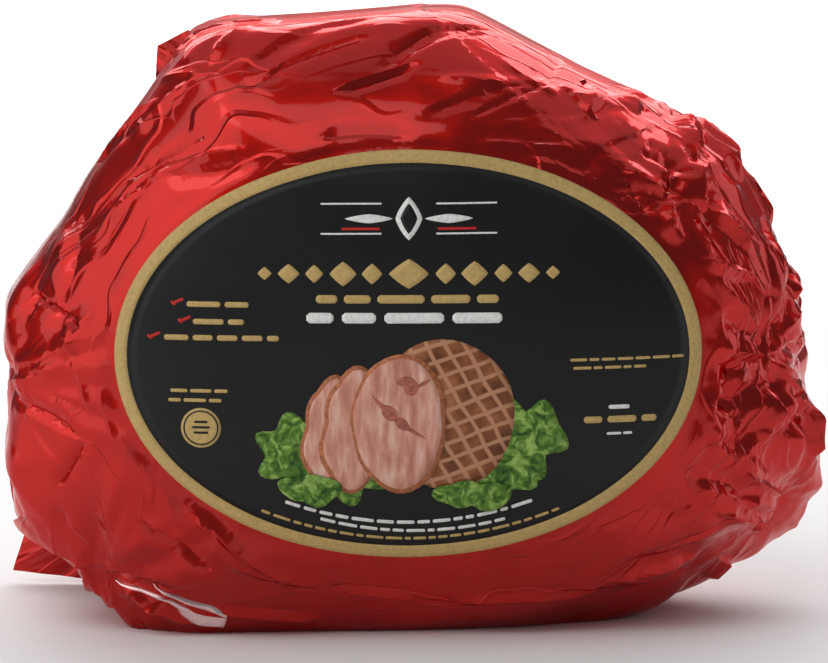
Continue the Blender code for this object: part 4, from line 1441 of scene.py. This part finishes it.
class WrapSettings(bpy.types.PropertyGroup):
    foil_red: bpy.props.FloatVectorProperty(
        name="Foil red", description="Colour of the metallised film", subtype="COLOR",
        default=(0.50, 0.006, 0.0015), min=0.0, max=1.0,
    )
    foil_roughness: bpy.props.FloatProperty(
        name="Softness", description="How soft the metal under the film's gloss looks",
        default=0.31, min=0.0, max=1.0, subtype="FACTOR",
    )
    foil_crinkle: bpy.props.FloatProperty(
        name="Fine crinkle", description="Depth of the finest creases in the film",
        default=0.7, min=0.0, max=1.0, subtype="FACTOR",
    )
    small_creases: bpy.props.IntProperty(
        name="Small creases", description="How many lesser creases cover the film", default=150, min=0,
    )
    crease_seed: bpy.props.IntProperty(
        name="Crease seed", description="Draws another set of lesser creases", default=4,
    )
    front_spacing: bpy.props.FloatProperty(
        name="Front spacing", description="Distance between the film's mesh corners on the front",
        default=0.00105, unit="LENGTH",
    )


class LabelSettings(bpy.types.PropertyGroup):
    black: bpy.props.FloatVectorProperty(
        name="Label black", description="Colour of the label's field", subtype="COLOR",
        default=(0.009, 0.0085, 0.0085), min=0.0, max=1.0,
    )
    gold: bpy.props.FloatVectorProperty(
        name="Label gold", description="Colour of the label's band and print", subtype="COLOR",
        default=(0.53, 0.365, 0.135), min=0.0, max=1.0,
    )


class StageSettings(bpy.types.PropertyGroup):
    floor_grey: bpy.props.FloatProperty(
        name="Floor", description="How pale the floor is", default=0.95, min=0.0, max=1.0,
    )
    floor_size: bpy.props.FloatProperty(
        name="Floor size", description="Length of each side of the floor", default=40.0, unit="LENGTH",
    )
    camera_distance: bpy.props.FloatProperty(
        name="Camera distance", description="From the pack's middle to the camera",
        default=1.40, unit="LENGTH",
    )
    camera_rise: bpy.props.FloatProperty(
        name="Camera rise", description="Angle of the camera above the horizon",
        default=math.radians(7.0), subtype="ANGLE",
    )
    camera_lens: bpy.props.FloatProperty(
        name="Lens", description="Focal length in millimetres", default=184.0,
    )


class WRAPPEDHAM_OT_film(bpy.types.Operator):
    """Wraps the ham in crinkled red film"""

    bl_idname = "wrapped_ham.film"
    bl_label = "Film"

    def execute(self, context):
        settings = context.scene.wrapped_ham_wrap
        main, small, nets = film_folds(settings)
        rays = wrap_rays(main, small, nets, settings)
        points = wrap_points(rays, main + small, nets) + np.array(shift_to_frame())
        film = mesh_over_rays("film_wrap", rays, points)
        flow = film.data.attributes.new("flow", "FLOAT_VECTOR", "POINT")
        flow.data.foreach_set("vector", film_flow(rays).ravel())
        select_only(film)
        bpy.ops.object.shade_smooth_by_angle(angle=math.radians(CREASE_SHARP_ANGLE))
        foil = foil_material(settings, "red_foil", settings.foil_red)
        finish_piece(film, foil, "red_foil", "foil_wrap")
        return {"FINISHED"}


class WRAPPEDHAM_OT_label(bpy.types.Operator):
    """Lays the black oval and its gold band over the film"""

    bl_idname = "wrapped_ham.label"
    bl_label = "Label"

    def execute(self, context):
        settings = context.scene.wrapped_ham_label
        half = (LABEL_WIDTH / 2 / MM, LABEL_HEIGHT / 2 / MM)
        inside = tuple(radius - LABEL_BAND / MM for radius in half)
        field = join_as("label_sheet", [patch((0, 0), oval(*inside), 24, 150)])
        lay_on_label(field, LABEL_TOP_LIFT - LABEL_SHEET, LABEL_SHEET)
        black = print_material("label_black", settings.black, 0.42, 0.06)
        finish_piece(field, black, "label_black", "label_field")
        band = join_as("label_gold_band", [oval_band(half, inside, 150)])
        lay_on_label(band, LABEL_TOP_LIFT - LABEL_SHEET, LABEL_SHEET)
        gold = print_material("label_gold", settings.gold, 0.45)
        finish_piece(band, gold, "label_gold", "label_band")
        return {"FINISHED"}


def lay_print(name, pieces, material, slot_name, layer=1):
    """Joins flat pieces of one colour and lays them on the label as a thin skin of ink."""
    skin = join_as(name, pieces)
    lift = LABEL_TOP_LIFT + (layer - 1) * INK_LAYER - INK_SUNK
    lay_on_label(skin, lift, INK_LAYER + INK_SUNK)
    finish_piece(skin, material, slot_name)


class WRAPPEDHAM_OT_print(bpy.types.Operator):
    """Prints plain lines, a row of lozenges and a round seal on the label"""

    bl_idname = "wrapped_ham.print"
    bl_label = "Print"

    def execute(self, context):
        settings = context.scene.wrapped_ham_label
        gold, white, red = [], [], []
        for x, half_width, half_height in TITLE_LOZENGES:
            gold.append(patch((x, TITLE_HEIGHT), oval(half_width, half_height, power=1.15), 2, 24))
        for colour, rows in ((gold, GOLD_ROWS), (white, WHITE_ROWS)):
            for seed, row in enumerate(rows):
                colour += bar_row(*row[:4], seed, *row[4:])
        for x, y in RED_MARKS:
            red += [bar((x - 0.9, y - 0.2), 1.8, 0.9, -38), bar((x + 0.8, y + 0.5), 3.4, 0.9, 24)]
        for x in (-1, 1):
            white += [bar((x * 18, CREST_HEIGHT + y), 19, 0.55) for y in (-4.6, 4.6)]
            white.append(patch((x * 12.5, CREST_HEIGHT), oval(7.5, 1.4, power=1.3), 2, 24))
        white.append(patch((0, CREST_HEIGHT), oval(4.2, 6.6, power=1.25), 3, 32))
        red += [bar((x, CREST_HEIGHT - 3.1), 12, 0.8) for x in (-15, 15)]
        gold.append(patch(SEAL_CENTRE, oval(SEAL_RADIUS, SEAL_RADIUS), 3, 48))
        dark = [oval_band((SEAL_RING[1],) * 2, (SEAL_RING[0],) * 2, 48, SEAL_CENTRE)]
        dark.append(patch((0, CREST_HEIGHT), oval(2.6, 4.6, power=1.25), 2, 32))
        dark += [bar((SEAL_CENTRE[0], SEAL_CENTRE[1] + y), width, 0.7) for y, width in SEAL_BARS]
        lay_print("gold_print", gold, print_material("gold_ink", settings.gold, 0.4), "label_gold")
        lay_print("white_print", white, print_material("white_ink", WHITE_INK, 0.45), "label_black")
        lay_print("red_print", red, print_material("red_ink", RED_INK, 0.4), "label_black")
        black = print_material("black_ink", settings.black, 0.42)
        lay_print("dark_print", dark, black, "label_black", 2)
        return {"FINISHED"}


class WRAPPEDHAM_OT_picture(bpy.types.Operator):
    """Prints a plain picture of a carved ham with leaves on the label"""

    bl_idname = "wrapped_ham.picture"
    bl_label = "Picture"

    def execute(self, context):
        for layer, (name, kind, shapes) in enumerate(PICTURE, start=1):
            pieces = [patch(centre, rim_through(rim), *PICTURE_FACES) for centre, rim in shapes]
            lay_print(name, pieces, picture_finish(kind), "label_black", layer)
        return {"FINISHED"}


def film_piece(name, material, shape):
    """A thin loose piece of film: a square grid whose corners shape places on the pack."""
    deselect_all()
    along, outward = CORNER_GRID
    bpy.ops.mesh.primitive_grid_add(x_subdivisions=along, y_subdivisions=outward, size=1.0)
    piece = bpy.context.object
    piece.name = piece.data.name = name
    grid = np.array([vertex.co[:2] for vertex in piece.data.vertices]) + 0.5
    for vertex, point in zip(piece.data.vertices, shape(grid) + np.array(shift_to_frame())):
        vertex.co = point
    flow = piece.data.attributes.new("flow", "FLOAT_VECTOR", "POINT")
    drift = np.stack([grid[:, 0], grid[:, 1] * 0.3, grid[:, 0] * CORNER_PLEATS], axis=1)
    flow.data.foreach_set("vector", drift.ravel())
    thicken(piece, CORNER_FILM, 0.0)
    bpy.ops.object.shade_smooth_by_angle(angle=math.radians(CREASE_SHARP_ANGLE))
    finish_piece(piece, material, "red_foil", "foil_wrap")


def free_corner(flap, grid):
    """A pleated sheet that stands out from its root beside the pack."""
    root, edge = (line_through(line, grid[:, 0]) for line in (flap.root, flap.edge))
    sheet = root + (edge - root) * (grid[:, 1:] * (1 + CORNER_TUCK) - CORNER_TUCK)
    wave = flap.billow * np.sin(grid[:, 1] * math.pi) * np.cos(grid[:, 0] * CORNER_WAVES * math.pi)
    pleat = np.abs(((grid[:, 0] * CORNER_PLEATS + CORNER_PLEAT_SLANT * grid[:, 1]) % 1.0) * 2 - 1) - 0.5
    sheet[:, 1] += wave + CORNER_PLEAT_DEPTH * pleat * between(CORNER_PLEAT_SHARES, grid[:, 1])
    sheet[:, 2] = np.maximum(sheet[:, 2], LEAST_HEIGHT)
    return sheet


def laid_film(laid, folds, nets, grid):
    """A sheet that lies on the film of the front and stands off it toward its edge."""
    root, edge = (line_through(line, grid[:, 0]) for line in (laid.root, laid.edge))
    places = (root + (edge - root) * grid[:, 1:]) * MM
    rays = front_rays(places[:, 0], places[:, 1])
    lift = laid.middle_lift * np.sin(grid[:, 1] * math.pi) + laid.edge_lift * grid[:, 1] ** 2
    lift = (lift - LAID_FILM_SUNK) * MM
    sheet = wrap_points(rays, folds, nets) + ham_normal(rays) * lift[:, None]
    sheet[:, 2] = np.maximum(sheet[:, 2], LEAST_HEIGHT)
    return sheet


class WRAPPEDHAM_OT_corners(bpy.types.Operator):
    """Makes the loose corners and pleats of film"""

    bl_idname = "wrapped_ham.corners"
    bl_label = "Loose corners"

    def execute(self, context):
        settings = context.scene.wrapped_ham_wrap
        red = foil_material(settings, "red_foil", settings.foil_red)
        # The pale film is a painted highlight on the pleats
        pale = foil_material(settings, "painted_highlight_foil", PAINTED_HIGHLIGHT_FOIL)
        for flap in FLAPS:
            film_piece(flap.name, red, lambda grid, flap=flap: free_corner(flap, grid))
        main, small, nets = film_folds(settings)
        for laid in LAID_FILMS:
            film_piece(
                laid.name, pale if laid.pale else red,
                lambda grid, laid=laid: laid_film(laid, main + small, nets, grid),
            )
        return {"FINISHED"}


class WRAPPEDHAM_OT_stage(bpy.types.Operator):
    """Sets the floor, the lights and the camera"""

    bl_idname = "wrapped_ham.stage"
    bl_label = "Stage"

    def execute(self, context):
        settings = context.scene.wrapped_ham_stage
        deselect_all()
        bpy.ops.mesh.primitive_plane_add(size=settings.floor_size, location=(0, 0, 0))
        floor = context.object
        floor.name = "pale_floor"
        material, _, shader = new_material("pale_floor")
        shader.inputs["Base Color"].default_value = (settings.floor_grey,) * 3 + (1.0,)
        shader.inputs["Roughness"].default_value = 0.8
        floor.data.materials.append(material)
        world = bpy.data.worlds.new("soft_room")
        context.scene.world = world
        world.use_nodes = True
        background = world.node_tree.nodes["Background"]
        background.inputs["Color"].default_value = (WORLD_LIGHT,) * 3 + (1.0,)
        for light in LIGHTS:
            add_light(*light)
        middle = Vector(CAMERA_AIM)
        away = Vector((0.0, -math.cos(settings.camera_rise), math.sin(settings.camera_rise)))
        bpy.ops.object.camera_add(location=middle + away * settings.camera_distance)
        camera = context.object
        camera.rotation_euler = (-away).to_track_quat("-Z", "Y").to_euler()
        camera.data.lens = settings.camera_lens
        camera.data.sensor_width = 36.0
        camera.data.clip_end = 100.0
        context.scene.camera = camera
        context.scene.view_settings.view_transform = "Standard"
        return {"FINISHED"}


def add_light(name, place, faces, sides, brightness):
    """A soft box: its face is equally bright all over, whatever its size."""
    bpy.ops.object.light_add(type="AREA", location=place)
    light = bpy.context.object
    light.name = name
    light.rotation_euler = (Vector(faces) - Vector(place)).to_track_quat("-Z", "Y").to_euler()
    light.data.shape = "RECTANGLE"
    light.data.size, light.data.size_y = sides
    light.data.energy = brightness * math.pi * sides[0] * sides[1]


OPERATORS = (
    WRAPPEDHAM_OT_film,
    WRAPPEDHAM_OT_corners,
    WRAPPEDHAM_OT_label,
    WRAPPEDHAM_OT_print,
    WRAPPEDHAM_OT_picture,
    WRAPPEDHAM_OT_stage,
)
SETTINGS = (
    ("wrapped_ham_wrap", WrapSettings),
    ("wrapped_ham_label", LabelSettings),
    ("wrapped_ham_stage", StageSettings),
)


class WRAPPEDHAM_PT_pack(bpy.types.Panel):
    """Lists the pack's sizes and colours and the steps that make it"""

    bl_idname = "WRAPPEDHAM_PT_pack"
    bl_label = "Wrapped ham"
    bl_space_type = "VIEW_3D"
    bl_region_type = "UI"
    bl_category = "Wrapped ham"

    def draw(self, context):
        for name, group in SETTINGS:
            box = self.layout.box()
            for field in group.__annotations__:
                box.prop(getattr(context.scene, name), field)
        for operator in OPERATORS:
            self.layout.operator(operator.bl_idname)


def register():
    for name, group in SETTINGS:
        bpy.utils.register_class(group)
        setattr(bpy.types.Scene, name, bpy.props.PointerProperty(type=group))
    for made in (*OPERATORS, WRAPPEDHAM_PT_pack):
        bpy.utils.register_class(made)


def unregister():
    for made in reversed((*OPERATORS, WRAPPEDHAM_PT_pack)):
        bpy.utils.unregister_class(made)
    for name, group in SETTINGS:
        delattr(bpy.types.Scene, name)
        bpy.utils.unregister_class(group)


def main():
    register()
    for operator in OPERATORS:
        group, name = operator.bl_idname.split(".")
        getattr(getattr(bpy.ops, group), name)()
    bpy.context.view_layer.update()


if __name__ == "__main__":
    main()
